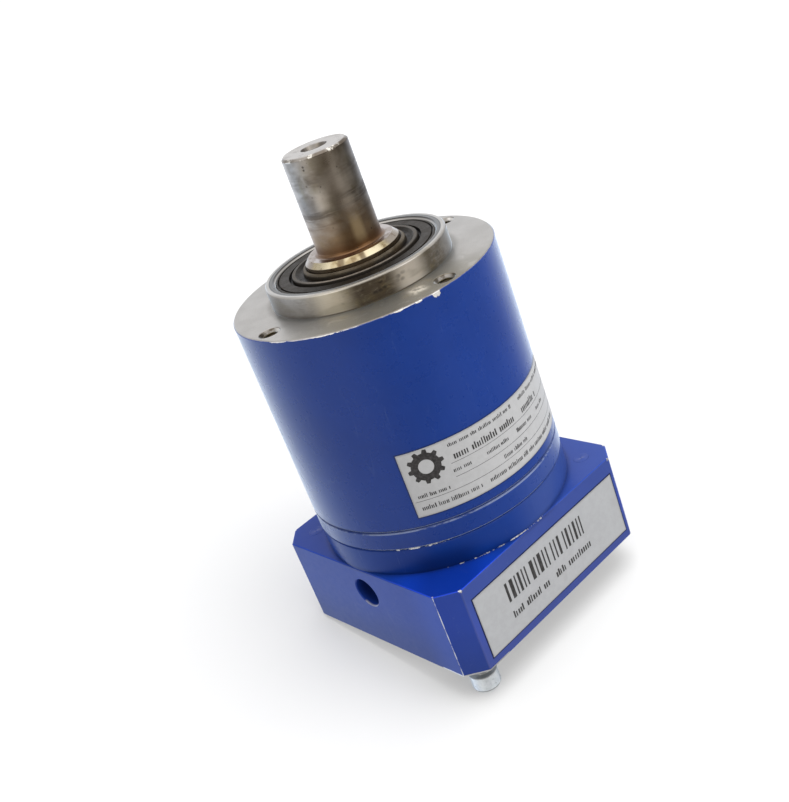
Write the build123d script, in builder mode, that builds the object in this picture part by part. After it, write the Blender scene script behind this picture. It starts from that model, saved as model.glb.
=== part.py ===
from build123d import *
import math
import os

os.makedirs("parts", exist_ok=True)

# Single-stage planetary gearhead, frame size 90, ratio 5:1.
# Row frame: +Z runs along the output shaft, z = 0 is the output mounting face,
# X and Y are square to the sides of the motor adapter block.  Millimetres.

# ------------------------------------------------------------------ driving dimensions
body_r = 45.0            # outer radius of the round housing
housing_back = -71.7     # joint between housing and intermediate ring
ring_back = -78.8        # joint between intermediate ring and adapter
block_top = -88.7        # where the round boss of the adapter meets its square block
block_back = -122.0      # motor face
block_w = 90.0           # adapter block, across flats
block_corner = 6.5       # corner chamfer of the adapter block
joint_chamfer = 0.55     # chamfer on each edge of the two round joints

pilot_r = 31.0           # centring collar on the output side
pilot_h = 7.4
flange_pcd = 80.0        # four M6 holes in the output face
flange_tap_r = 2.5
flange_tap_depth = 12.0

shaft_r = 11.0           # output shaft
shaft_tip = 43.9
shaft_end_tap_r = 3.4    # M8 thread in the shaft end
seal_journal_r = 16.0
shoulder_z = 11.0
shoulder_top_r = 14.4      # the shoulder is chamfered from here down to the seal journal
shoulder_chamfer = 1.35
journal_r = 17.5         # seat of both output bearings

seat_r = 27.5            # bore of the housing for the output seal and front bearing
seal_w = 7.0
seal_top = 6.9

# output bearings: bore radius, outer radius, width, ball radius, number of balls
fb_ri, fb_ro, fb_w, fb_ball, fb_n = 17.5, 27.5, 10.0, 3.0, 14
rb_ri, rb_ro, rb_w, rb_ball, rb_n = 17.5, 31.0, 14.0, 4.0, 12
fb_top = -2.4
rb_top = -24.0
# input bearing
ib_ri, ib_ro, ib_w, ib_ball, ib_n = 12.5, 23.5, 12.0, 3.5, 11
ib_top = -69.6

# gear set, involute, pressure angle 20 degrees
module = 1.0
sun_teeth = 18
planet_teeth = 27
ring_teeth = 72
orbit_r = module * (sun_teeth + planet_teeth) / 2
thinning = 0.10          # taken off every tooth's thickness, for backlash
planet_angles = (0.0, 120.0, 240.0)
planet_top = -48.2
planet_w = 16.0
ring_gear_top = -47.5
ring_gear_back = -65.2

carrier_r = 34.0
carrier_top = -39.2
carrier_back = -47.0
pin_r = 5.0
needle_r = 0.97
needle_n = 12
needle_pitch_r = 6.015
needle_len = 12.0
planet_bore_r = 7.03

# input side
motor_bore_r = 9.5       # clamping bore for a 19 mm motor shaft
motor_bore_top = -76.0
hub_back = -107.0
clamp_z = -99.1          # clamping screw and its access hole
clamp_w = 12.0
access_r = 5.5
motor_pilot_r = 40.0     # recess for the motor's 80 mm centring collar
motor_pilot_depth = 5.0
motor_pcd = 100.0
motor_tap_r = 2.5
motor_tap_depth = 20.0
cavity_r = 27.3
hub_r = 26.5             # rear hub of the intermediate ring
adapter_screw_r = 32.6   # radius of the circle of the four M5 adapter screws
screw_head_back = -133.5  # underside of the motor screw that is still in its hole

label_t = 0.15


def bearing_mean(ri, ro):
    return (ri + ro) / 2


def involute(angle):
    return math.tan(angle) - angle


def gear_outline(teeth, tip_r, root_r, thickness, flank_radii):
    """Closed outline of an external gear with one tooth centred on angle zero."""
    pitch_r = module * teeth / 2
    base_r = pitch_r * math.cos(math.radians(20))
    half = thickness / (2 * pitch_r) + involute(math.radians(20))

    def half_angle(r):
        if r <= base_r:
            return half
        return half - involute(math.acos(base_r / r))

    pts = []
    for k in range(teeth):
        mid = 2 * math.pi * k / teeth
        for r in flank_radii:
            a = mid - half_angle(r)
            pts.append((r * math.cos(a), r * math.sin(a)))
        for r in reversed(flank_radii):
            a = mid + half_angle(r)
            pts.append((r * math.cos(a), r * math.sin(a)))
    return pts


tooth = math.pi * module / 2
sun_pts = gear_outline(sun_teeth, 10.0, 7.75, tooth - thinning, (7.75, 8.46, 9.0, 9.5, 10.0))
planet_pts = gear_outline(planet_teeth, 14.5, 12.25, tooth - thinning, (12.25, 12.7, 13.3, 13.9, 14.5))
# the spaces between the ring gear's teeth, with a space centred on angle zero
ring_pts = gear_outline(ring_teeth, 37.25, 35.1, tooth + thinning, (35.1, 35.8, 36.5, 37.25))


def write(part, label):
    part.label = label
    export_step(part, "parts/" + label + ".step")


# ------------------------------------------------------------------ housing
# Turned steel housing: centring collar and mounting face in front, seats for the seal and the
# two output bearings, and the ring gear cut into its rear bore.
with BuildPart() as housing:
    with BuildSketch(Plane.XZ) as housing_section:
        with BuildLine():
            Polyline(
                (30.5, pilot_h), (28.3, pilot_h), (seat_r, pilot_h - 0.8),
                (seat_r, -0.55), (28.9, -0.55), (28.9, fb_top), (seat_r, fb_top),
                (seat_r, fb_top - fb_w), (25.0, fb_top - fb_w), (25.0, rb_top),
                (rb_ro, rb_top), (rb_ro, rb_top - rb_w), (rb_ro + 0.6, rb_top - rb_w - 0.6),
                (37.5, rb_top - rb_w - 0.6), (37.5, ring_gear_top), (34.0, ring_gear_top),
                (34.0, ring_gear_back), (37.45, ring_gear_back), (37.45, housing_back),
                (body_r - joint_chamfer, housing_back), (body_r, housing_back + joint_chamfer),
                (body_r, -0.4), (body_r - 0.4, 0), (pilot_r, 0), (pilot_r, pilot_h - 0.5),
                (30.5, pilot_h), close=True)
        make_face()
    revolve(axis=Axis.Z)
    with BuildSketch(Plane.XY.offset(ring_gear_back - 0.5)):
        with BuildLine():
            Polyline(*ring_pts, close=True)
        make_face()
    extrude(amount=ring_gear_top - ring_gear_back + 1.0, mode=Mode.SUBTRACT)
    with Locations(Plane.XY):
        with PolarLocations(flange_pcd / 2, 4):
            CounterSinkHole(radius=flange_tap_r, counter_sink_radius=3.7, depth=flange_tap_depth,
                            counter_sink_angle=90)
    with Locations(Plane(origin=(0, 0, housing_back), x_dir=(1, 0, 0), z_dir=(0, 0, -1))):
        with PolarLocations(41.2, 6, start_angle=30):
            Hole(radius=1.5, depth=11.0)
write(housing.part, "housing")

# ------------------------------------------------------------------ output seal
# Rubber radial shaft seal with a raised ring, a main lip and a dust lip.
with BuildPart() as output_seal:
    with BuildSketch(Plane.XZ):
        with BuildLine():
            Polyline(
                (seat_r, seal_top - seal_w), (seat_r, 6.1), (27.0, 6.75), (26.75, 6.75),
                (26.55, 6.2), (26.3, 6.2), (26.1, 6.8), (22.75, 6.8), (22.55, 5.7), (21.85, 5.7),
                (21.6, 7.15), (21.35, 7.35), (20.3, 7.35), (19.3, 6.5), (17.75, 6.35),
                (17.45, 7.7), (17.15, 8.1), (16.5, 8.2), (16.04, 7.9), (16.04, 7.6),
                (16.9, 5.9), (17.1, 4.3), (16.04, 2.75), (16.04, 2.45), (16.9, 1.1),
                (17.85, 1.1), (17.85, 3.2), (18.9, 4.9), (20.5, 5.15), (26.3, 5.15),
                (26.3, seal_top - seal_w), close=True)
        make_face()
    revolve(axis=Axis.Z)
write(output_seal.part, "output_seal")

# pressed steel case inside the rubber
with BuildPart() as output_seal_case:
    with BuildSketch(Plane.XZ):
        with BuildLine():
            Polyline((26.3, -0.05), (26.3, 5.15), (20.6, 5.15), (20.6, 4.35), (25.5, 4.35),
                     (25.5, -0.05), close=True)
        make_face()
    revolve(axis=Axis.Z)
write(output_seal_case.part, "output_seal_case")

# garter spring round the main lip
with BuildPart() as output_seal_spring:
    with BuildSketch(Plane.XZ):
        with Locations((18.65, 2.1)):
            Circle(0.75)
    revolve(axis=Axis.Z)
write(output_seal_spring.part, "output_seal_spring")

# ------------------------------------------------------------------ retaining ring in front of the front bearing
with BuildPart() as bearing_retaining_ring:
    with BuildSketch(Plane.XY.offset(-2.35)):
        Circle(28.85)
        Circle(25.4, mode=Mode.SUBTRACT)
        with Locations((0, 28.0)):
            Rectangle(9.0, 8.0, mode=Mode.SUBTRACT)
        with Locations((6.9, 24.9), (-6.9, 24.9)):
            Circle(2.1)
        with Locations((6.9, 24.7), (-6.9, 24.7)):
            Circle(1.0, mode=Mode.SUBTRACT)
    extrude(amount=1.75)
write(bearing_retaining_ring.part, "bearing_retaining_ring")

# ------------------------------------------------------------------ front output bearing
fb_m = bearing_mean(fb_ri, fb_ro)
fb_mid = fb_top - fb_w / 2
with BuildPart() as front_bearing_outer_race:
    with BuildSketch(Plane.XZ):
        with Locations(((fb_ro + fb_m + 1.9) / 2, fb_mid)):
            RectangleRounded(fb_ro - fb_m - 1.9, fb_w, 0.6)
        with Locations((fb_m, fb_mid)):
            Circle(fb_ball + 0.06, mode=Mode.SUBTRACT)
    revolve(axis=Axis.Z)
write(front_bearing_outer_race.part, "front_bearing_outer_race")

with BuildPart() as front_bearing_inner_race:
    with BuildSketch(Plane.XZ):
        with Locations(((fb_ri + fb_m - 1.9) / 2, fb_mid)):
            RectangleRounded(fb_m - 1.9 - fb_ri, fb_w, 0.6)
        with Locations((fb_m, fb_mid)):
            Circle(fb_ball + 0.06, mode=Mode.SUBTRACT)
    revolve(axis=Axis.Z)
write(front_bearing_inner_race.part, "front_bearing_inner_race")

with BuildPart() as front_bearing_balls:
    with Locations((0, 0, fb_mid)):
        with PolarLocations(fb_m, fb_n):
            Sphere(fb_ball)
write(front_bearing_balls.part, "front_bearing_balls")

with BuildPart() as front_bearing_cage:
    with BuildSketch(Plane.XY.offset(fb_mid - 3.6)):
        Circle(fb_m + 1.2)
        Circle(fb_m - 1.2, mode=Mode.SUBTRACT)
    extrude(amount=7.2)
    with Locations((0, 0, fb_mid)):
        with PolarLocations(fb_m, fb_n):
            Cylinder(fb_ball + 0.08, 8.0, rotation=(0, 90, 0), mode=Mode.SUBTRACT)
write(front_bearing_cage.part, "front_bearing_cage")

# ------------------------------------------------------------------ rear output bearing
rb_m = bearing_mean(rb_ri, rb_ro)
rb_mid = rb_top - rb_w / 2
with BuildPart() as rear_bearing_outer_race:
    with BuildSketch(Plane.XZ):
        with Locations(((rb_ro + rb_m + 2.5) / 2, rb_mid)):
            RectangleRounded(rb_ro - rb_m - 2.5, rb_w, 0.8)
        with Locations((rb_m, rb_mid)):
            Circle(rb_ball + 0.06, mode=Mode.SUBTRACT)
    revolve(axis=Axis.Z)
write(rear_bearing_outer_race.part, "rear_bearing_outer_race")

with BuildPart() as rear_bearing_inner_race:
    with BuildSketch(Plane.XZ):
        with Locations(((rb_ri + rb_m - 2.5) / 2, rb_mid)):
            RectangleRounded(rb_m - 2.5 - rb_ri, rb_w, 0.8)
        with Locations((rb_m, rb_mid)):
            Circle(rb_ball + 0.06, mode=Mode.SUBTRACT)
    revolve(axis=Axis.Z)
write(rear_bearing_inner_race.part, "rear_bearing_inner_race")

with BuildPart() as rear_bearing_balls:
    with Locations((0, 0, rb_mid)):
        with PolarLocations(rb_m, rb_n):
            Sphere(rb_ball)
write(rear_bearing_balls.part, "rear_bearing_balls")

with BuildPart() as rear_bearing_cage:
    with BuildSketch(Plane.XY.offset(rb_mid - 4.8)):
        Circle(rb_m + 1.6)
        Circle(rb_m - 1.6, mode=Mode.SUBTRACT)
    extrude(amount=9.6)
    with Locations((0, 0, rb_mid)):
        with PolarLocations(rb_m, rb_n):
            Cylinder(rb_ball + 0.08, 8.0, rotation=(0, 90, 0), mode=Mode.SUBTRACT)
write(rear_bearing_cage.part, "rear_bearing_cage")

# ------------------------------------------------------------------ output shaft with planet carrier
with BuildPart() as output_shaft:
    with BuildSketch(Plane.XZ):
        with BuildLine():
            Polyline(
                (0, shaft_tip), (shaft_r - 0.8, shaft_tip), (shaft_r, shaft_tip - 0.8),
                (shaft_r, shoulder_z + 1.1), (shaft_r + 0.12, shoulder_z + 0.62),
                (shaft_r + 0.42, shoulder_z + 0.24), (shaft_r + 1.1, shoulder_z),
                (shoulder_top_r, shoulder_z), (seal_journal_r - 0.3, shoulder_z - shoulder_chamfer),
                (seal_journal_r, shoulder_z - shoulder_chamfer - 0.3),
                (seal_journal_r, -0.1), (journal_r, -0.1),
                (journal_r, -0.8), (16.6, -0.8), (16.6, fb_top), (journal_r, fb_top),
                (journal_r, rb_top - rb_w), (20.8, rb_top - rb_w), (20.8, carrier_top),
                (carrier_r - 0.8, carrier_top), (carrier_r, carrier_top - 0.8),
                (carrier_r, carrier_back + 0.8), (carrier_r - 0.8, carrier_back),
                (12.0, carrier_back), (11.0, carrier_back + 3.0), (0, carrier_back + 3.0),
                close=True)
        make_face()
    revolve(axis=Axis.Z)
    with Locations(Plane.XY.offset(shaft_tip)):
        CounterSinkHole(radius=shaft_end_tap_r, counter_sink_radius=4.3, depth=19.0,
                        counter_sink_angle=60)
    with Locations(Plane(origin=(0, 0, carrier_back), x_dir=(1, 0, 0), z_dir=(0, 0, -1))):
        with PolarLocations(orbit_r, 3, start_angle=0):
            Hole(radius=pin_r, depth=7.0)
        with PolarLocations(26.0, 3, start_angle=60):
            Hole(radius=4.0, depth=9.0)
write(output_shaft.part, "output_shaft")

with BuildPart() as bearing_spacer:
    with BuildSketch(Plane.XY.offset(rb_top)):
        Circle(20.4)
        Circle(journal_r, mode=Mode.SUBTRACT)
    extrude(amount=fb_top - fb_w - rb_top)
write(bearing_spacer.part, "bearing_spacer")

with BuildPart() as shaft_retaining_ring:
    with BuildSketch(Plane.XY.offset(fb_top)):
        Circle(20.3)
        Circle(16.65, mode=Mode.SUBTRACT)
        with Locations((0, 18.0)):
            Rectangle(7.0, 7.0, mode=Mode.SUBTRACT)
        with Locations((5.6, 19.4), (-5.6, 19.4)):
            Circle(1.9)
        with Locations((5.6, 19.5), (-5.6, 19.5)):
            Circle(0.9, mode=Mode.SUBTRACT)
    extrude(amount=1.5)
write(shaft_retaining_ring.part, "shaft_retaining_ring")

# ------------------------------------------------------------------ planet pins, washers and clips
with BuildPart() as planet_pins:
    with Locations(Plane.XY.offset(-67.4)):
        with PolarLocations(orbit_r, 3):
            Cylinder(pin_r, 27.4 - 0.2, align=(Align.CENTER, Align.CENTER, Align.MIN))
    with Locations(Plane.XY.offset(-66.35)):
        with PolarLocations(orbit_r, 3):
            with BuildSketch(mode=Mode.PRIVATE) as clip_groove:
                Circle(pin_r + 0.5)
                Circle(pin_r - 0.45, mode=Mode.SUBTRACT)
            add(extrude(clip_groove.sketch, amount=1.1, mode=Mode.PRIVATE), mode=Mode.SUBTRACT)
write(planet_pins.part, "planet_pins")

with BuildPart() as planet_washers_front:
    with BuildSketch(Plane.XY.offset(carrier_back - 1.0)):
        with PolarLocations(orbit_r, 3):
            Circle(9.6)
        with PolarLocations(orbit_r, 3):
            Circle(pin_r + 0.05, mode=Mode.SUBTRACT)
    extrude(amount=1.0)
write(planet_washers_front.part, "planet_washers_front")

with BuildPart() as planet_washers_rear:
    with BuildSketch(Plane.XY.offset(-65.2)):
        with PolarLocations(orbit_r, 3):
            Circle(9.6)
        with PolarLocations(orbit_r, 3):
            Circle(pin_r + 0.05, mode=Mode.SUBTRACT)
    extrude(amount=0.8)
write(planet_washers_rear.part, "planet_washers_rear")

with BuildPart() as pin_retaining_rings:
    with BuildSketch(Plane.XY.offset(-66.3)):
        with PolarLocations(orbit_r, 3):
            Circle(7.2)
        with PolarLocations(orbit_r, 3):
            Circle(pin_r - 0.4, mode=Mode.SUBTRACT)
        with PolarLocations(orbit_r + 6.0, 3):
            Rectangle(6.0, 4.0, mode=Mode.SUBTRACT)
    extrude(amount=1.0)
write(pin_retaining_rings.part, "pin_retaining_rings")

# ------------------------------------------------------------------ planet gears with their needle bearings
for n, ang in enumerate(planet_angles, start=1):
    axis_plane = Plane(origin=(orbit_r * math.cos(math.radians(ang)), orbit_r * math.sin(math.radians(ang)), 0),
                       x_dir=(math.cos(math.radians(ang)), math.sin(math.radians(ang)), 0),
                       z_dir=(0, 0, 1))
    with BuildPart() as planet_gear:
        with BuildSketch(axis_plane.offset(planet_top - planet_w)):
            with BuildLine():
                Polyline(*planet_pts, close=True)
            make_face()
            Circle(planet_bore_r, mode=Mode.SUBTRACT)
        extrude(amount=planet_w)
    write(planet_gear.part, "planet_gear_%d" % n)

    mid = planet_top - planet_w / 2
    with BuildPart() as needle_rollers:
        with BuildSketch(axis_plane.offset(mid - needle_len / 2)):
            with PolarLocations(needle_pitch_r, needle_n):
                Circle(needle_r)
        extrude(amount=needle_len)
    write(needle_rollers.part, "needle_rollers_%d" % n)

    with BuildPart() as needle_cage:
        with BuildSketch(axis_plane.offset(mid - 7.4)):
            Circle(6.6)
            Circle(5.4, mode=Mode.SUBTRACT)
        extrude(amount=14.8)
        with BuildSketch(axis_plane.offset(mid - needle_len / 2 - 0.1)):
            with PolarLocations(needle_pitch_r, needle_n):
                Circle(needle_r + 0.05)
        extrude(amount=needle_len + 0.2, mode=Mode.SUBTRACT)
    write(needle_cage.part, "needle_cage_%d" % n)

# ------------------------------------------------------------------ input shaft: sun gear, bearing journal, clamping hub
with BuildPart() as input_shaft:
    with BuildSketch(Plane.XZ):
        with BuildLine():
            Polyline(
                (0, -64.0), (7.75, -64.0), (7.75, -66.6), (11.9, -66.6), (12.5, -67.2),
                (12.5, -68.1), (11.85, -68.1), (11.85, -69.4), (12.5, -69.4),
                (12.5, ib_top - ib_w), (15.0, ib_top - ib_w), (15.0, -92.0), (14.0, -92.3),
                (14.0, hub_back + 0.6), (13.4, hub_back), (10.3, hub_back),
                (motor_bore_r, hub_back + 0.8), (motor_bore_r, motor_bore_top),
                (0, motor_bore_top + 3.0), close=True)
        make_face()
    revolve(axis=Axis.Z)
    with BuildSketch(Plane.XY.offset(-65.0)):
        with BuildLine():
            Polyline(*sun_pts, close=True)
        make_face()
    extrude(amount=17.0)
    with BuildSketch(Plane.XY.offset(hub_back - 1.0)):
        with PolarLocations(11.75, 3, start_angle=90):
            Rectangle(8.5, 1.6)
    extrude(amount=15.2, mode=Mode.SUBTRACT)
write(input_shaft.part, "input_shaft")

with BuildPart() as clamp_ring:
    with BuildSketch(Plane.XY.offset(clamp_z - clamp_w / 2)):
        Circle(21.5)
        Circle(14.05, mode=Mode.SUBTRACT)
    extrude(amount=clamp_w)
    chamfer(clamp_ring.edges().filter_by(GeomType.CIRCLE).group_by(SortBy.RADIUS)[-1], 0.7)
    with Locations(Plane(origin=(0, -21.5, clamp_z), z_dir=(0, -1, 0))):
        CounterBoreHole(radius=3.0, counter_bore_radius=5.2, counter_bore_depth=1.2, depth=8.0)
write(clamp_ring.part, "clamp_ring")

with BuildPart() as clamp_screw:
    with BuildSketch(Plane(origin=(0, -20.34, clamp_z), z_dir=(0, -1, 0))):
        Circle(5.0)
    extrude(amount=5.0)
    with BuildSketch(Plane(origin=(0, -14.1, clamp_z), z_dir=(0, -1, 0))):
        Circle(2.95)
    extrude(amount=6.3)
    with BuildSketch(Plane(origin=(0, -25.34, clamp_z), z_dir=(0, 1, 0))):
        RegularPolygon(radius=2.5, side_count=6, major_radius=False)
    extrude(amount=3.0, mode=Mode.SUBTRACT)
    chamfer(clamp_screw.edges().filter_by(GeomType.CIRCLE).sort_by(Axis.Y)[0], 0.4)
write(clamp_screw.part, "clamp_screw")

# ------------------------------------------------------------------ input bearing
ib_m = bearing_mean(ib_ri, ib_ro)
ib_mid = ib_top - ib_w / 2
with BuildPart() as input_bearing_outer_race:
    with BuildSketch(Plane.XZ):
        with Locations(((ib_ro + ib_m + 2.2) / 2, ib_mid)):
            RectangleRounded(ib_ro - ib_m - 2.2, ib_w, 0.6)
        with Locations((ib_m, ib_mid)):
            Circle(ib_ball + 0.06, mode=Mode.SUBTRACT)
    revolve(axis=Axis.Z)
write(input_bearing_outer_race.part, "input_bearing_outer_race")

with BuildPart() as input_bearing_inner_race:
    with BuildSketch(Plane.XZ):
        with Locations(((ib_ri + ib_m - 2.2) / 2, ib_mid)):
            RectangleRounded(ib_m - 2.2 - ib_ri, ib_w, 0.6)
        with Locations((ib_m, ib_mid)):
            Circle(ib_ball + 0.06, mode=Mode.SUBTRACT)
    revolve(axis=Axis.Z)
write(input_bearing_inner_race.part, "input_bearing_inner_race")

with BuildPart() as input_bearing_balls:
    with Locations((0, 0, ib_mid)):
        with PolarLocations(ib_m, ib_n):
            Sphere(ib_ball)
write(input_bearing_balls.part, "input_bearing_balls")

with BuildPart() as input_bearing_cage:
    with BuildSketch(Plane.XY.offset(ib_mid - 4.2)):
        Circle(ib_m + 1.4)
        Circle(ib_m - 1.4, mode=Mode.SUBTRACT)
    extrude(amount=8.4)
    with Locations((0, 0, ib_mid)):
        with PolarLocations(ib_m, ib_n):
            Cylinder(ib_ball + 0.08, 8.0, rotation=(0, 90, 0), mode=Mode.SUBTRACT)
write(input_bearing_cage.part, "input_bearing_cage")

with BuildPart() as input_shaft_retaining_ring:
    with BuildSketch(Plane.XY.offset(-69.35)):
        Circle(14.9)
        Circle(11.9, mode=Mode.SUBTRACT)
        with Locations((0, 13.0)):
            Rectangle(5.5, 6.0, mode=Mode.SUBTRACT)
    extrude(amount=1.2)
write(input_shaft_retaining_ring.part, "input_shaft_retaining_ring")

# ------------------------------------------------------------------ intermediate ring (input bearing shield)
with BuildPart() as intermediate_ring:
    with BuildSketch(Plane.XZ):
        with BuildLine():
            Polyline(
                (20.0, -68.2), (37.0, -68.2), (37.4, -68.6), (37.4, -69.2), (35.9, -69.2),
                (35.9, -71.0), (37.4, -71.0), (37.4, housing_back),
                (body_r - joint_chamfer, housing_back), (body_r, housing_back - joint_chamfer),
                (body_r, ring_back + joint_chamfer), (body_r - joint_chamfer, ring_back),
                (37.0, ring_back), (37.0, -79.4), (35.6, -79.4), (35.6, -81.1), (37.0, -81.1),
                (37.0, -81.6), (36.8, -81.8), (hub_r, -81.8), (hub_r, -90.9), (hub_r - 0.4, -91.3),
                (23.9, -91.3), (23.5, -90.9), (23.5, -83.5), (24.8, -83.5), (24.8, -81.65),
                (23.5, -81.65), (23.5, ib_top), (20.0, ib_top), close=True)
        make_face()
    revolve(axis=Axis.Z)
    with Locations(Plane(origin=(0, 0, ring_back), x_dir=(1, 0, 0), z_dir=(0, 0, -1))):
        with PolarLocations(41.2, 6, start_angle=30):
            CounterBoreHole(radius=1.7, counter_bore_radius=3.0, counter_bore_depth=3.4, depth=7.5)
    with Locations(Plane(origin=(0, 0, -81.8), x_dir=(1, 0, 0), z_dir=(0, 0, -1))):
        with PolarLocations(adapter_screw_r, 4, start_angle=45):
            Hole(radius=2.5, depth=9.5)
write(intermediate_ring.part, "intermediate_ring")

with BuildPart() as ring_screws:
    with BuildSketch(Plane.XY.offset(-78.4)):
        with PolarLocations(41.2, 6, start_angle=30):
            Circle(2.75)
    extrude(amount=3.0)
    with BuildSketch(Plane.XY.offset(-75.5)):
        with PolarLocations(41.2, 6, start_angle=30):
            Circle(1.47)
    extrude(amount=13.5)
    with BuildSketch(Plane.XY.offset(-78.4)):
        with PolarLocations(41.2, 6, start_angle=30):
            RegularPolygon(radius=1.25, side_count=6, major_radius=False)
    extrude(amount=1.4, mode=Mode.SUBTRACT)
write(ring_screws.part, "ring_screws")

with BuildPart() as housing_o_ring:
    with BuildSketch(Plane.XZ):
        with Locations((36.65, -70.1)):
            Circle(0.74)
    revolve(axis=Axis.Z)
write(housing_o_ring.part, "housing_o_ring")

with BuildPart() as adapter_o_ring:
    with BuildSketch(Plane.XZ):
        with Locations((36.3, -80.25)):
            Circle(0.68)
    revolve(axis=Axis.Z)
write(adapter_o_ring.part, "adapter_o_ring")

with BuildPart() as input_bearing_retaining_ring:
    with BuildSketch(Plane.XY.offset(-83.45)):
        Circle(24.75)
        Circle(21.3, mode=Mode.SUBTRACT)
        with Locations((0, 23.5)):
            Rectangle(8.0, 8.0, mode=Mode.SUBTRACT)
        with Locations((6.2, 20.9), (-6.2, 20.9)):
            Circle(2.0)
        with Locations((6.2, 20.7), (-6.2, 20.7)):
            Circle(0.9, mode=Mode.SUBTRACT)
    extrude(amount=1.75)
write(input_bearing_retaining_ring.part, "input_bearing_retaining_ring")

with BuildPart() as input_seal:
    with BuildSketch(Plane.XZ):
        with BuildLine():
            Polyline((23.5, -83.8), (23.5, -90.3), (23.0, -90.8), (17.2, -90.8), (16.7, -90.3),
                     (15.04, -88.6), (15.04, -88.3), (16.6, -87.4), (16.9, -86.2), (15.04, -85.2),
                     (15.04, -84.9), (15.8, -84.2), (16.9, -84.2), (16.9, -85.9), (17.9, -87.6),
                     (19.2, -89.0), (22.0, -89.2), (22.4, -88.8), (22.4, -83.8), close=True)
        make_face()
    revolve(axis=Axis.Z)
write(input_seal.part, "input_seal")

with BuildPart() as input_seal_spring:
    with BuildSketch(Plane.XZ):
        with Locations((17.68, -85.0)):
            Circle(0.72)
    revolve(axis=Axis.Z)
write(input_seal_spring.part, "input_seal_spring")

# ------------------------------------------------------------------ motor adapter
hw = block_w / 2
with BuildPart() as adapter_plate:
    with BuildSketch(Plane.XY.offset(block_back)) as adapter_outline:
        with BuildLine():
            Polyline(
                (hw - block_corner, -hw), (hw, -hw + block_corner), (hw, hw - block_corner),
                (hw - block_corner, hw), (-hw + block_corner, hw), (-hw, hw - block_corner),
                (-hw, -hw + block_corner), (-hw + block_corner, -hw), close=True)
        make_face()
        fillet(adapter_outline.vertices(), 0.7)
    extrude(amount=block_top - block_back)
    chamfer(adapter_plate.faces().sort_by(Axis.Z)[0].outer_wire().edges(), 0.4)
    chamfer(adapter_plate.faces().sort_by(Axis.Z)[-1].outer_wire().edges(), 0.35)
    with BuildSketch(Plane.XZ):
        with BuildLine():
            Polyline((0, ring_back), (44.8 - joint_chamfer, ring_back), (44.8, ring_back - joint_chamfer),
                     (44.8, block_top - 0.8), (0, block_top - 0.8), close=True)
        make_face()
    revolve(axis=Axis.Z)
    # bore for the intermediate ring, clamping chamber and recess for the motor's collar
    with BuildSketch(Plane.XZ):
        with BuildLine():
            Polyline((0, ring_back + 1), (37.05, ring_back + 1), (37.05, -82.3), (cavity_r, -82.3),
                     (cavity_r, block_back + motor_pilot_depth),
                     (motor_pilot_r, block_back + motor_pilot_depth),
                     (motor_pilot_r, block_back + 0.7), (motor_pilot_r + 1.7, block_back - 1),
                     (0, block_back - 1), close=True)
        make_face()
    revolve(axis=Axis.Z, mode=Mode.SUBTRACT)
    # access hole for the key that turns the clamping screw
    with BuildSketch(Plane(origin=(0, -hw - 1, clamp_z), z_dir=(0, 1, 0))):
        Circle(access_r)
    extrude(amount=hw + 1 - 20, mode=Mode.SUBTRACT)
    chamfer(adapter_plate.edges().filter_by(GeomType.CIRCLE).filter_by(
        lambda e: abs(e.center().Y + hw) < 0.01 and abs(e.radius - access_r) < 0.01), 0.35)
    # screws that hold the adapter, sunk in the floor of the recess
    with Locations(Plane(origin=(0, 0, block_back + motor_pilot_depth), x_dir=(1, 0, 0), z_dir=(0, 0, -1))):
        with PolarLocations(adapter_screw_r, 4, start_angle=45):
            CounterBoreHole(radius=2.75, counter_bore_radius=4.6, counter_bore_depth=6.0, depth=36.0)
    # threaded holes for the motor; the one at +X -Y still holds its screw
    with Locations(Plane(origin=(0, 0, block_back), x_dir=(1, 0, 0), z_dir=(0, 0, -1))):
        with Locations((motor_pcd / 2 * math.cos(math.radians(45)), -motor_pcd / 2 * math.sin(math.radians(45))),
                       (-motor_pcd / 2 * math.cos(math.radians(45)), -motor_pcd / 2 * math.sin(math.radians(45))),
                       (-motor_pcd / 2 * math.cos(math.radians(45)), motor_pcd / 2 * math.sin(math.radians(45)))):
            CounterSinkHole(radius=motor_tap_r, counter_sink_radius=3.4, depth=motor_tap_depth, counter_sink_angle=90)
        with Locations((motor_pcd / 2 * math.cos(math.radians(45)), motor_pcd / 2 * math.sin(math.radians(45)))):
            CounterSinkHole(radius=3.02, counter_sink_radius=3.6, depth=motor_tap_depth, counter_sink_angle=90)
write(adapter_plate.part, "adapter_plate")

with BuildPart() as adapter_screws:
    with BuildSketch(Plane.XY.offset(block_back + motor_pilot_depth + 1.0)):
        with PolarLocations(adapter_screw_r, 4, start_angle=45):
            Circle(4.25)
    extrude(amount=5.0)
    chamfer(adapter_screws.faces().filter_by(Axis.Z).group_by(Axis.Z)[0].edges(), 0.4)
    with BuildSketch(Plane.XY.offset(-111.5)):
        with PolarLocations(adapter_screw_r, 4, start_angle=45):
            Circle(2.45)
    extrude(amount=38.5)
    with BuildSketch(Plane.XY.offset(block_back + motor_pilot_depth + 1.0)):
        with PolarLocations(adapter_screw_r, 4, start_angle=45):
            RegularPolygon(radius=2.0, side_count=6, major_radius=False)
    extrude(amount=2.6, mode=Mode.SUBTRACT)
write(adapter_screws.part, "adapter_screws")

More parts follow.
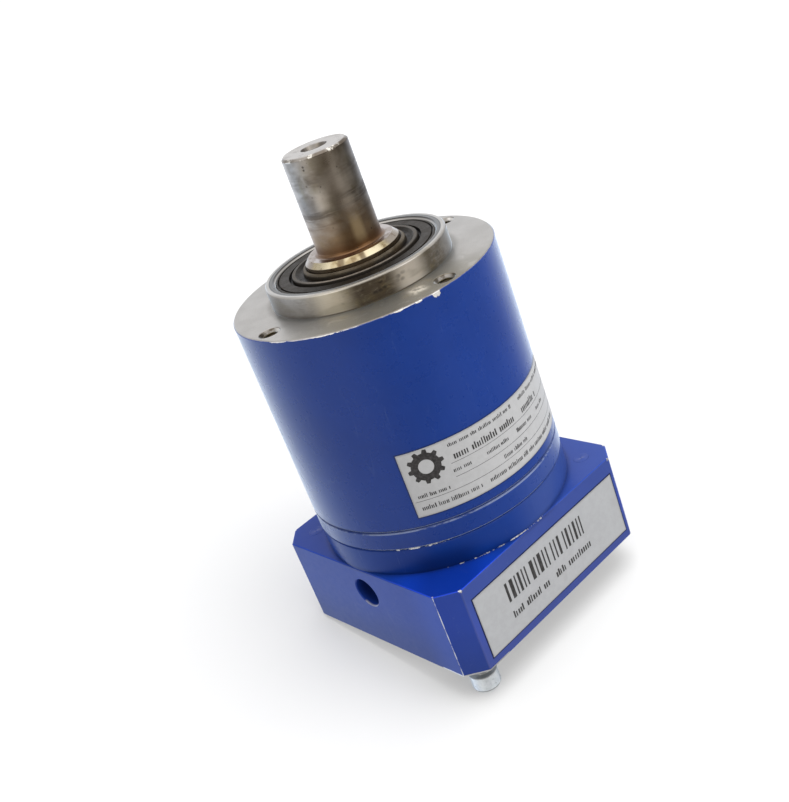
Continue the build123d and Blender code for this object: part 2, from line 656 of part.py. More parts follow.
# motor screw left in its hole, standing out of the motor face
sx = motor_pcd / 2 * math.cos(math.radians(45))
with BuildPart() as motor_screw:
    with BuildSketch(Plane.XY.offset(screw_head_back)):
        with Locations((sx, -sx)):
            Circle(5.0)
    extrude(amount=6.0)
    chamfer(motor_screw.faces().filter_by(Axis.Z).sort_by(Axis.Z)[0].edges(), 0.5)
    chamfer(motor_screw.faces().filter_by(Axis.Z).sort_by(Axis.Z)[-1].edges(), 0.2)
    with BuildSketch(Plane.XY.offset(screw_head_back + 5.5)):
        with Locations((sx, -sx)):
            Circle(2.98)
    extrude(amount=20.5)
    chamfer(motor_screw.faces().filter_by(Axis.Z).sort_by(Axis.Z)[-1].edges(), 0.6)
    with BuildSketch(Plane.XY.offset(screw_head_back)):
        with Locations((sx, -sx)):
            RegularPolygon(radius=2.5, side_count=6, major_radius=False)
    extrude(amount=3.2, mode=Mode.SUBTRACT)
write(motor_screw.part, "motor_screw")

# ------------------------------------------------------------------ labels
label_a0, label_a1 = -47.8, 43.5
label_z0, label_z1 = -67.8, -44.6
with BuildPart() as body_label:
    with BuildSketch(Plane.XY.offset(label_z0)):
        with BuildLine():
            CenterArc((0, 0), body_r + label_t, label_a0, label_a1 - label_a0)
            CenterArc((0, 0), body_r, label_a0, label_a1 - label_a0)
            Line((body_r * math.cos(math.radians(label_a0)), body_r * math.sin(math.radians(label_a0))),
                 ((body_r + label_t) * math.cos(math.radians(label_a0)), (body_r + label_t) * math.sin(math.radians(label_a0))))
            Line((body_r * math.cos(math.radians(label_a1)), body_r * math.sin(math.radians(label_a1))),
                 ((body_r + label_t) * math.cos(math.radians(label_a1)), (body_r + label_t) * math.sin(math.radians(label_a1))))
        make_face()
    extrude(amount=label_z1 - label_z0)
write(body_label.part, "body_label")

with BuildPart() as adapter_label:
    with BuildSketch(Plane(origin=(hw, 0.6, -106.55), x_dir=(0, 1, 0), z_dir=(1, 0, 0))):
        Rectangle(72.4, 23.7)
    extrude(amount=label_t)
write(adapter_label.part, "adapter_label")
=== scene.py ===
import bpy
import bmesh
import random
from math import radians, degrees, sin, cos, pi, tan, atan2, sqrt
from mathutils import Vector, Matrix


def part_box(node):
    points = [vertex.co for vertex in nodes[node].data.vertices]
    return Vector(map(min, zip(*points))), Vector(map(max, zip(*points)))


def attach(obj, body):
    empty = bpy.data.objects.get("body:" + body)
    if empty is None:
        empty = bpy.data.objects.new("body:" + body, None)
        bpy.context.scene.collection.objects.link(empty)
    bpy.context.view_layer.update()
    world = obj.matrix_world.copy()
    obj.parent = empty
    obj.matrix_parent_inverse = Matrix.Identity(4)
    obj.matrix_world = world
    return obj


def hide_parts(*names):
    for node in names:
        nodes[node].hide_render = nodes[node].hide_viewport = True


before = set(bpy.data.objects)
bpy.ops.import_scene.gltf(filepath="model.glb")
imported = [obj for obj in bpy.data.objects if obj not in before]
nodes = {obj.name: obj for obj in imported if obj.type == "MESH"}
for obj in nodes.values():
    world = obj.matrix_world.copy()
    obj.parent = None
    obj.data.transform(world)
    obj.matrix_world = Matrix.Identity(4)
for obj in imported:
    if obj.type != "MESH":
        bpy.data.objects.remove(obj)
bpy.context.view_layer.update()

MM = 0.001


# ----------------------------------------------------------------------------------------------
# camera: at the viewing angle of the reference, in the part's own frame
# ----------------------------------------------------------------------------------------------
def make_camera():
    az, el, roll = radians(56.38), radians(24.33), radians(-21.10)
    dist, tx, ty, focal_px = 382.34, -9.62, 11.19, 1093.35
    back = Vector((sin(az) * cos(el), -cos(az) * cos(el), sin(el)))
    fwd = -back
    right = fwd.cross(Vector((0, 0, 1))).normalized()
    up = right.cross(fwd)
    rx = right * cos(roll) + up * sin(roll)
    uy = -right * sin(roll) + up * cos(roll)
    pos = (Vector((0, 0, -62)) + back * dist + rx * tx + uy * ty) * MM
    data = bpy.data.cameras.new("camera")
    cam = bpy.data.objects.new("camera", data)
    bpy.context.scene.collection.objects.link(cam)
    m = Matrix((rx, uy, back)).transposed().to_4x4()
    m.translation = pos
    cam.matrix_world = m
    data.sensor_width = 36.0
    data.sensor_fit = "AUTO"
    data.lens = focal_px * 36.0 / 802.0
    data.clip_start = 0.01
    data.clip_end = 60.0
    bpy.context.scene.camera = cam
    return cam


make_camera()


# ----------------------------------------------------------------------------------------------
# a small language for shader trees: floats with arithmetic, masks, noises, colour mixes
# ----------------------------------------------------------------------------------------------
class F:
    """One float socket. Arithmetic on it makes Math nodes."""

    def __init__(self, g, sock):
        self.g, self.s = g, sock

    def __add__(self, o): return self.g.m("ADD", self, o)
    def __radd__(self, o): return self.g.m("ADD", o, self)
    def __sub__(self, o): return self.g.m("SUBTRACT", self, o)
    def __rsub__(self, o): return self.g.m("SUBTRACT", o, self)
    def __mul__(self, o): return self.g.m("MULTIPLY", self, o)
    def __rmul__(self, o): return self.g.m("MULTIPLY", o, self)
    def __truediv__(self, o): return self.g.m("DIVIDE", self, o)
    def __neg__(self): return self.g.m("MULTIPLY", self, -1.0)
    def __abs__(self): return self.g.m("ABSOLUTE", self)
    def __gt__(self, o): return self.g.m("GREATER_THAN", self, o)
    def __lt__(self, o): return self.g.m("LESS_THAN", self, o)
    def max(self, o): return self.g.m("MAXIMUM", self, o)
    def min(self, o): return self.g.m("MINIMUM", self, o)
    def sqrt(self): return self.g.m("SQRT", self)
    def floor(self): return self.g.m("FLOOR", self)
    def fract(self): return self.g.m("FRACT", self)
    def sin(self): return self.g.m("SINE", self)
    def cos(self): return self.g.m("COSINE", self)
    def pow(self, o): return self.g.m("POWER", self, o)


class Tree:
    def __init__(self, nt):
        self.nt = nt

    def n(self, kind, **props):
        node = self.nt.nodes.new(kind)
        for k, v in props.items():
            setattr(node, k, v)
        return node

    def put(self, sock, v):
        if isinstance(v, F):
            self.nt.links.new(v.s, sock)
        elif isinstance(v, bpy.types.NodeSocket):
            self.nt.links.new(v, sock)
        elif isinstance(v, (tuple, list)):
            v = tuple(v)
            if len(sock.default_value) == 4 and len(v) == 3:
                v = v + (1.0,)
            sock.default_value = v
        else:
            sock.default_value = v

    def m(self, op, a, b=None, c=None, clamp=False):
        node = self.n("ShaderNodeMath", operation=op, use_clamp=clamp)
        for i, v in enumerate((a, b, c)):
            if v is not None:
                self.put(node.inputs[i], v)
        return F(self, node.outputs[0])

    def smooth(self, e0, e1, x, lo=0.0, hi=1.0):
        node = self.n("ShaderNodeMapRange", interpolation_type="SMOOTHSTEP")
        self.put(node.inputs[0], x)
        for i, v in zip((1, 2, 3, 4), (e0, e1, lo, hi)):
            self.put(node.inputs[i], v)
        return F(self, node.outputs[0])

    def lin(self, e0, e1, x, lo=0.0, hi=1.0):
        node = self.n("ShaderNodeMapRange", interpolation_type="LINEAR", clamp=True)
        self.put(node.inputs[0], x)
        for i, v in zip((1, 2, 3, 4), (e0, e1, lo, hi)):
            self.put(node.inputs[i], v)
        return F(self, node.outputs[0])

    def band(self, x, centre, half, soft):
        """1 within half of centre, falling to 0 over soft."""
        return self.smooth(half + soft, half, abs(x - centre))

    def vec(self, x, y, z):
        node = self.n("ShaderNodeCombineXYZ")
        for i, v in enumerate((x, y, z)):
            self.put(node.inputs[i], v)
        return node.outputs[0]

    def noise(self, v, scale=1.0, detail=2.0, rough=0.5, distortion=0.0, dims="3D", w=None):
        node = self.n("ShaderNodeTexNoise", noise_dimensions=dims)
        if v is not None:
            self.nt.links.new(v, node.inputs["Vector"])
        if w is not None:
            self.put(node.inputs["W"], w)
        node.inputs["Scale"].default_value = scale
        node.inputs["Detail"].default_value = detail
        node.inputs["Roughness"].default_value = rough
        node.inputs["Distortion"].default_value = distortion
        return F(self, node.outputs[0])

    def cells(self, v, scale=1.0, feature="F1", random=1.0):
        node = self.n("ShaderNodeTexVoronoi", feature=feature)
        self.nt.links.new(v, node.inputs["Vector"])
        node.inputs["Scale"].default_value = scale
        node.inputs["Randomness"].default_value = random
        return F(self, node.outputs["Distance"])

    def rand(self, w):
        node = self.n("ShaderNodeTexWhiteNoise", noise_dimensions="1D")
        self.put(node.inputs["W"], w)
        return F(self, node.outputs[0])

    def mix(self, f, a, b):
        node = self.n("ShaderNodeMix", data_type="RGBA", clamp_factor=True)
        self.put(node.inputs[0], f)
        self.put(node.inputs[6], a)
        self.put(node.inputs[7], b)
        return node.outputs[2]

    def mixf(self, f, a, b):
        node = self.n("ShaderNodeMix", data_type="FLOAT", clamp_factor=True)
        self.put(node.inputs[0], f)
        self.put(node.inputs[2], a)
        self.put(node.inputs[3], b)
        return F(self, node.outputs[0])

    def ramp(self, x, stops, interp="LINEAR"):
        """stops: (position, colour) pairs; returns a colour socket."""
        node = self.n("ShaderNodeValToRGB")
        cr = node.color_ramp
        cr.interpolation = interp
        while len(cr.elements) < len(stops):
            cr.elements.new(0.5)
        for e, (p, c) in zip(cr.elements, stops):
            e.position = p
        for e, (p, c) in zip(cr.elements, stops):
            e.position = p
            e.color = tuple(c) + (1.0,) if len(c) == 3 else tuple(c)
        self.put(node.inputs[0], x)
        return node.outputs[0]

    def bump(self, height, distance, normal=None, strength=1.0):
        node = self.n("ShaderNodeBump")
        node.inputs["Strength"].default_value = strength
        node.inputs["Distance"].default_value = distance
        self.put(node.inputs["Height"], height)
        if normal is not None:
            self.nt.links.new(normal, node.inputs["Normal"])
        return node.outputs[0]


class Mat(Tree):
    """A Principled material whose coordinates are the part's own, in millimetres."""

    def __init__(self, name):
        self.mat = bpy.data.materials.new(name)
        self.mat.use_nodes = True
        super().__init__(self.mat.node_tree)
        self.nt.nodes.clear()
        out = self.n("ShaderNodeOutputMaterial")
        self.bsdf = self.n("ShaderNodeBsdfPrincipled")
        self.nt.links.new(self.bsdf.outputs[0], out.inputs["Surface"])
        tc = self.n("ShaderNodeTexCoord")
        sc = self.n("ShaderNodeVectorMath", operation="SCALE")
        self.nt.links.new(tc.outputs["Object"], sc.inputs[0])
        sc.inputs["Scale"].default_value = 1000.0
        self.P = sc.outputs[0]
        sep = self.n("ShaderNodeSeparateXYZ")
        self.nt.links.new(self.P, sep.inputs[0])
        self.x, self.y, self.z = (F(self, sep.outputs[i]) for i in range(3))
        self._r = self._t = None

    @property
    def r(self):
        if self._r is None:
            self._r = (self.x * self.x + self.y * self.y).sqrt()
        return self._r

    @property
    def th(self):
        """angle about the axis, in degrees, -180 to 180"""
        if self._t is None:
            self._t = self.m("ARCTAN2", self.y, self.x) * (180 / pi)
        return self._t

    def radius_at(self, cx, cy):
        dx, dy = self.x - cx, self.y - cy
        return (dx * dx + dy * dy).sqrt()

    def stretched(self, sx, sy, sz):
        node = self.n("ShaderNodeVectorMath", operation="MULTIPLY")
        self.nt.links.new(self.P, node.inputs[0])
        node.inputs[1].default_value = (sx, sy, sz)
        return node.outputs[0]

    def set(self, **kw):
        names = dict(color="Base Color", metallic="Metallic", rough="Roughness", normal="Normal", spec="Specular IOR Level",
                     ior="IOR", coat="Coat Weight", coat_rough="Coat Roughness", aniso="Anisotropic", sheen="Sheen Weight",
                     tint="Specular Tint", emission="Emission Color", emission_strength="Emission Strength")
        for k, v in kw.items():
            self.put(self.bsdf.inputs[names[k]], v)
        return self


def srgb(r, g, b):
    def f(c):
        c = c / 255.0
        return c / 12.92 if c <= 0.04045 else ((c + 0.055) / 1.055) ** 2.4
    return (f(r), f(g), f(b))


# ----------------------------------------------------------------------------------------------
# shared surface recipes
# ----------------------------------------------------------------------------------------------
PAINT = (0.0032, 0.0310, 0.2080)
PAINT_DEEP = (0.0026, 0.0270, 0.1850)
BLOCK_PAINT = (0.0110, 0.0440, 0.3000)
BARE = (0.60, 0.575, 0.55)
BARE_ALU = (0.66, 0.665, 0.67)
CHIP = (0.80, 0.79, 0.77)


def paint_colour(g, base, deep, dusty=(0.16, 0.19, 0.27)):
    """Colour of the sprayed enamel: slow cloudiness and a little dust in the film."""
    cloud = g.noise(g.P, 0.035, 3.0, 0.55)
    c = g.mix(g.smooth(0.35, 0.7, cloud), base, deep)
    dust = g.smooth(0.60, 0.82, g.noise(g.P, 0.55, 4.0, 0.65)) * 0.05
    c = g.mix(dust, c, dusty)
    return c


def scuffs(g, amount=1.0):
    """thin, faint scratches at two slants, as a 0..1 mask"""
    out = None
    for (a, b, c), seed in (((0.9, 0.25, 0.12), 3.1), ((0.2, 0.75, 0.95), 8.7), ((0.5, 0.6, 0.35), 14.2)):
        node = g.n("ShaderNodeVectorMath", operation="MULTIPLY_ADD")
        g.nt.links.new(g.P, node.inputs[0])
        node.inputs[1].default_value = (a * 0.12 + 0.02, b * 0.9, c * 0.10)
        node.inputs[2].default_value = (seed, seed * 1.7, seed * 0.3)
        line = g.noise(node.outputs[0], 1.0, 2.0, 0.5, 1.2)
        thin = g.smooth(0.010, 0.002, abs(line - 0.5))
        gate = g.smooth(0.60, 0.72, g.noise(node.outputs[0], 0.55, 1.0, 0.5))
        s = thin * gate
        out = s if out is None else out.max(s)
    return out * amount


def thread_bump(g, spots, pitch, r_bore):
    """helical ridges on the walls of tapped holes: spots are (x, y) of the hole axes"""
    total = None
    for cx, cy in spots:
        dx, dy = g.x - cx, g.y - cy
        rr = (dx * dx + dy * dy).sqrt()
        on = g.smooth(r_bore + 0.25, r_bore + 0.12, rr)
        turn = g.m("ARCTAN2", dy, dx) * (1 / (2 * pi))
        wave = ((g.z / pitch + turn) * (2 * pi)).sin() * 0.5 + 0.5
        v = wave * on
        total = v if total is None else total + v
    return total


def enamel_gloss(g, level=0.32, sheen=0.95):
    """the enamel's even numbers, on the shader's own sockets"""
    g.bsdf.inputs["Specular IOR Level"].default_value = level
    g.bsdf.inputs["Sheen Weight"].default_value = sheen
    g.bsdf.inputs["Sheen Roughness"].default_value = 0.28
    g.bsdf.inputs["Sheen Tint"].default_value = (0.76, 0.88, 1.0, 1.0)


# ----------------------------------------------------------------------------------------------
# housing: blue enamel outside, bare turned steel in front and inside
# ----------------------------------------------------------------------------------------------
def housing_material():
    g = Mat("housing_enamel_and_turned_steel")
    x, y, z, r, th = g.x, g.y, g.z, g.r, g.th
    # where the enamel is: the outer wall, back from the front edge, with a slightly ragged masking line
    rag = g.noise(g.P, 0.9, 3.0, 0.6) * 0.22
    outer = g.smooth(44.30, 44.42, r)
    front = g.smooth(-0.12, -0.30, z + rag - 0.11)
    rear = g.smooth(-72.0, -71.35, z)
    painted = outer * front

    # chips: the front edge (strong on the near side), and the rear edge at the joint
    front_zone = g.smooth(1.3, 0.15, abs(z + 0.20))
    cn = g.noise(g.vec(x * 1.0, y * 1.0, z * 2.2), 0.42, 5.0, 0.68, 0.3)
    chips_front = g.smooth(0.86, 0.89, cn * 0.72 + front_zone * 0.30)
    ragged = (g.noise(g.P, 0.62, 4.0, 0.62, 0.3) - 0.5) * 3.6
    for t0, wide, deep_mm in ((-10.2, 2.1, 1.5), (-18.0, 2.0, 0.45), (-26.5, 2.6, 0.50), (-56.0, 6.5, 0.36), (-78.0, 5.0, 0.36)):
        u, v = (th - t0) * (1.0 / wide), (z + 0.2) * (1.0 / deep_mm)
        chips_front = chips_front.max(g.smooth(0.95, 1.20, 1.9 - (u * u + v * v) + ragged))
    run = g.noise(g.P, 0.21, 4.0, 0.62)
    chips_front = chips_front.max(g.smooth(0.60, 0.72, g.smooth(0.42, 0.10, abs(z + 0.24)) * 0.40 + run * 0.50) * g.smooth(44.0, 30.0, abs(th + 42.0)) * 0.85)
    small = g.smooth(0.90, 0.94, g.noise(g.P, 1.3, 3.0, 0.7) * 0.85 + front_zone * 0.33)
    rear_zone = g.smooth(0.9, 0.10, abs(z + 71.55))
    near_rear = g.smooth(13.0, 5.0, abs(th + 60.0)).max(g.smooth(16.0, 8.0, abs(th + 5.0)))
    chips_rear = g.smooth(0.86, 0.90, cn * 0.70 + rear_zone * 0.30 + near_rear * rear_zone * 0.12)
    chips = (chips_front.max(small).max(chips_rear)) * painted
    is_paint = painted * (1.0 - chips)
    is_paint = is_paint.max(0.0)

    # enamel
    pc = paint_colour(g, PAINT, PAINT_DEEP)
    sc = scuffs(g, 0.16)
    pc = g.mix(sc * painted, pc, (0.08, 0.13, 0.30))
    # dirt line that gathers against the rear joint
    pc = g.mix(g.smooth(1.0, 0.2, abs(z + 71.4)) * 0.35, pc, (0.006, 0.014, 0.05))
    # the label's edge collects a thin dark line of dirt
    inx = g.band(th, -2.15, 46.10, 0.25)
    inz = g.band(z, -56.2, 11.95, 0.22)
    pc = g.mix((inx * inz) * 0.55, pc, (0.004, 0.010, 0.035))

    # bare steel: turning marks run round the axis
    rings = g.noise(None, 5.0, 3.0, 0.65, dims="1D", w=r + z * 0.7)
    fine = g.noise(None, 26.0, 2.0, 0.6, dims="1D", w=r + z)
    cloudy = g.noise(g.P, 0.10, 4.0, 0.6)
    bare = g.mix(g.smooth(0.30, 0.75, cloudy), (0.450, 0.425, 0.395), (0.545, 0.520, 0.490))
    bare = g.mix(g.smooth(0.35, 0.75, rings) * 0.18, bare, (0.33, 0.305, 0.28))
    # handling stains on the face: grey-green and golden, on the near side, and faint rings of old grease
    near = g.smooth(62.0, 18.0, abs(th + 22.0))
    face = g.smooth(-0.35, -0.1, z)
    inner_face = g.smooth(41.5, 32.5, r)
    blot = g.noise(g.vec(x, y, z * 0.6), 0.16, 5.0, 0.62, 0.6)
    st = g.smooth(0.40, 0.62, blot + near * 0.16) * near * face
    bare = g.mix(st * 0.62, bare, (0.150, 0.130, 0.090))
    bare = g.mix(near * face * 0.22, bare, (0.36, 0.29, 0.16))
    gold = g.smooth(0.50, 0.66, g.noise(g.vec(x + 40, y, z), 0.21, 3.0, 0.55)) * near * face * inner_face
    bare = g.mix(gold * 0.45, bare, (0.50, 0.40, 0.22))
    # painted highlight: a bright warm spot on the face at one angle
    painted_glint = g.smooth(6.0, 1.5, abs(th + 12.5)) * g.smooth(4.2, 1.0, abs(r - 37.2)) * face
    bare = g.mix(painted_glint * g.smooth(0.30, 0.60, g.noise(g.P, 0.45, 3.0, 0.6)) * 0.85, bare, (0.99, 0.94, 0.84))
    # darker in the corner at the base of the collar: grime and painted shade
    foot_grime_and_shade = g.smooth(2.6, 0.2, abs(r - 31.3)) * g.smooth(1.6, 0.2, abs(z)) * 0.55
    bare = g.mix(foot_grime_and_shade, bare, (0.16, 0.14, 0.115))

    # collar side: brown smears along the middle, kept thin at two angles where the bright patches of painted highlight
    # sit
    collar = g.smooth(30.7, 30.9, r) * g.smooth(31.3, 31.1, r) * g.smooth(0.15, 0.5, z) * g.smooth(7.3, 7.0, z)
    smear_v = g.vec(th * 0.16, z * 0.62, 3.7)
    smear = g.noise(smear_v, 1.0, 5.0, 0.7, 0.5)
    where = g.smooth(30.0, 6.0, abs(th + 32.0)).max(g.smooth(22.0, 6.0, abs(th - 14.0)) * 0.45)
    highlight_spots = g.smooth(16.0, 3.0, abs(th + 57.0)).max(g.smooth(14.0, 3.0, abs(th + 7.0)))
    sm = g.smooth(0.34, 0.70, smear + where * 0.13) * (0.30 + where * 0.70) * (1.0 - highlight_spots * 0.85)
    bare = g.mix(collar * sm * 0.74, bare, (0.092, 0.068, 0.048))
    # painted highlights: two near-white patches on the collar side
    bare = g.mix(collar * g.smooth(17.0, 2.0, abs(th + 56.0)) * 0.80, bare, (0.86, 0.80, 0.68))
    bare = g.mix(collar * g.smooth(16.0, 2.0, abs(th + 7.0)) * 0.92, bare, (0.99, 0.95, 0.90))
    # painted shade: both flanks of the collar tinted browner and darker
    bare = g.mix(collar * g.smooth(-74.0, -104.0, th) * g.smooth(-178.0, -150.0, th) * 0.78, bare, (0.21, 0.168, 0.125))
    bare = g.mix(collar * g.smooth(24.0, 38.0, th) * g.smooth(130.0, 90.0, th) * 0.62, bare, (0.27, 0.225, 0.185))
    spots = g.smooth(0.46, 0.20, g.cells(g.vec(th * 0.20, z * 0.50, 1.3), 1.0)) * g.smooth(0.40, 0.55, g.noise(g.vec(th * 0.09, 2.2, 0.0), 1.0, 2.0, 0.5)) * where * g.band(z, 4.0, 0.9, 1.1)
    bare = g.mix(collar * spots * 0.8, bare, (0.028, 0.024, 0.030))
    green = g.smooth(0.5, 0.7, g.noise(g.vec(th * 0.05, z * 0.3, 9.1), 1.0, 2.0, 0.5))
    bare = g.mix(collar * green * 0.25, bare, (0.26, 0.24, 0.16))
    # collar's top edge is polished by handling
    lip = g.smooth(0.55, 0.1, abs(z - 7.25)) * g.smooth(27.6, 28.2, r)
    bare = g.mix(lip * 0.35, bare, (0.66, 0.63, 0.59))
    # dark chamfer and two thin black lines where the seal sits: grime and painted shade
    seat_grime_and_shade = lip * g.smooth(29.55, 29.35, r)
    bare = g.mix(seat_grime_and_shade * 0.94, bare, (0.046, 0.042, 0.040))
    bare = g.mix(lip * g.band(r, 29.35, 0.12, 0.12) * 0.90, bare, (0.018, 0.016, 0.016))
    bare = g.mix(lip * g.band(r, 27.95, 0.16, 0.12) * 0.80, bare, (0.022, 0.020, 0.020))
    # inside of the tapped holes is dark: old oil and painted shade deep in the hole, with a band of thread-locker near
    # the mouth
    holes = None
    for cx, cy in ((40, 0), (0, 40), (-40, 0), (0, -40)):
        h = g.smooth(2.72, 2.55, g.radius_at(cx, cy))
        holes = h if holes is None else holes.max(h)
    deep = g.smooth(-0.75, -1.10, z) * holes
    bare = g.mix(deep * 0.95, bare, (0.030, 0.020, 0.010))
    bare = g.mix(deep * g.smooth(-1.9, -1.4, z) * 0.55, bare, (0.34, 0.25, 0.11))
    rims = None
    for cx, cy in ((40, 0), (0, 40), (-40, 0), (0, -40)):
        h = g.band(g.radius_at(cx, cy), 3.05, 0.48, 0.10)
        rims = h if rims is None else rims.max(h)
    worn_rim = g.smooth(0.40, 0.60, g.noise(g.P, 0.55, 2.0, 0.5))
    bare = g.mix(rims * g.smooth(0.1, -0.1, z) * (0.40 + worn_rim * 0.5), bare, (0.075, 0.058, 0.038))
    # painted highlights: a bright crescent on one side of each hole's countersink
    rim_highlight = None
    for cx, cy, ux, uy in ((40, 0, 0.30, -0.95), (0, 40, 0.72, 0.70), (-40, 0, 0.72, 0.70), (0, -40, 0.80, 0.60)):
        h = g.band(g.radius_at(cx, cy), 2.98, 0.42, 0.08) * g.smooth(0.4, 1.9, (x - cx) * ux + (y - cy) * uy)
        rim_highlight = h if rim_highlight is None else rim_highlight.max(h)
    bare = g.mix(rim_highlight * g.smooth(0.1, -0.1, z) * 0.85, bare, (0.95, 0.92, 0.88))

    chip_col = g.mix(g.noise(g.P, 2.0, 2.0, 0.5), (0.88, 0.87, 0.86), (0.62, 0.60, 0.58))
    bare = g.mix(chips, bare, chip_col)

    colour = g.mix(is_paint, bare, pc)
    metal = (1.0 - is_paint) * (1.0 - chips * 0.55) * (1.0 - seat_grime_and_shade * 0.75)
    rough_paint = g.lin(0.3, 0.7, g.noise(g.P, 0.25, 3.0, 0.5), 0.26, 0.31) + sc * 0.15
    rough_bare = g.lin(0.25, 0.75, rings, 0.27, 0.40) + st * 0.12 + collar * 0.13 + collar * sm * 0.08
    rough = g.mixf(is_paint, rough_bare, rough_paint)
    # relief: orange peel on the enamel, turning marks on the steel, the enamel's own thickness at a chip
    peel = g.noise(g.P, 1.1, 3.0, 0.5)
    hb = (peel * 0.006) * is_paint + (rings * 0.012 + fine * 0.006) * metal + is_paint * 0.09
    hb = hb + thread_bump(g, ((40, 0), (0, 40), (-40, 0), (0, -40)), 1.0, 2.5) * 0.35
    hb = hb - collar * sm * 0.02
    g.set(color=colour, metallic=metal, rough=rough, normal=g.bump(hb, 0.001))
    enamel_gloss(g)
    return g.mat


def ring_material():
    g = Mat("ring_enamel")
    z, r, th = g.z, g.r, g.th
    outer = g.smooth(44.30, 44.42, r)
    cn = g.noise(g.vec(g.x, g.y, g.z * 2.0), 0.42, 5.0, 0.68, 0.3)
    low = g.smooth(0.85, 0.05, abs(z + 78.62))
    high = g.smooth(0.8, 0.05, abs(z + 71.9))
    near_low = g.smooth(26.0, 6.0, abs(th + 47.0))
    near_high = g.smooth(14.0, 5.0, abs(th + 60.0)).max(g.smooth(20.0, 8.0, abs(th + 6.0)))
    core = g.smooth(15.0, 8.0, abs(th + 65.0))
    line = g.smooth(0.34, 0.08, abs(z + 78.50))
    chips = g.smooth(0.80, 0.84, cn * 0.70 + low * 0.22 + near_low * low * 0.24)
    chips = chips.max(g.smooth(0.60, 0.70, line * 0.56 + core * 0.36 * line + (cn - 0.5) * 0.5))
    chips = chips.max(g.smooth(0.86, 0.90, cn * 0.70 + high * 0.26 + near_high * high * 0.15))
    chips = chips * outer
    is_paint = outer * (1.0 - chips)
    pc = paint_colour(g, PAINT, PAINT_DEEP)
    pc = g.mix(g.smooth(-14.0, 8.0, th) * 0.05, pc, (0.26, 0.34, 0.62))
    sc = scuffs(g, 0.18)
    pc = g.mix(sc * outer, pc, (0.08, 0.13, 0.30))
    # the drawn edge over the joint is painted lighter: thin worn film, and a painted highlight where the chamfer
    # catches light
    pc = g.mix(g.smooth(0.40, 0.10, abs(z + 72.25)) * g.smooth(0.40, 0.62, cn + near_high * 0.25) * 0.42, pc, (0.42, 0.50, 0.66))
    pc = g.mix(g.smooth(0.7, 0.1, abs(z + 71.9)).max(g.smooth(0.7, 0.1, abs(z + 78.6))) * 0.30, pc, (0.006, 0.014, 0.05))
    bare = g.mix(g.smooth(0.3, 0.7, g.noise(g.P, 0.14, 3.0, 0.6)), (0.50, 0.48, 0.45), (0.66, 0.64, 0.62))
    chip_col = g.mix(g.noise(g.P, 2.0, 2.0, 0.5), (0.88, 0.87, 0.86), (0.62, 0.60, 0.58))
    bare = g.mix(chips, bare, chip_col)
    rings = g.noise(None, 5.0, 3.0, 0.65, dims="1D", w=r + z * 0.7)
    metal = 1.0 - is_paint
    peel = g.noise(g.P, 1.1, 3.0, 0.5)
    hb = (peel * 0.006 + 0.09) * is_paint + rings * 0.012 * metal
    g.set(color=g.mix(is_paint, bare, pc), metallic=metal,
          rough=g.mixf(is_paint, g.lin(0.25, 0.75, rings, 0.28, 0.42), g.lin(0.3, 0.7, g.noise(g.P, 0.25, 3.0, 0.5), 0.26, 0.31)),
          normal=g.bump(hb, 0.001))
    enamel_gloss(g)
    return g.mat


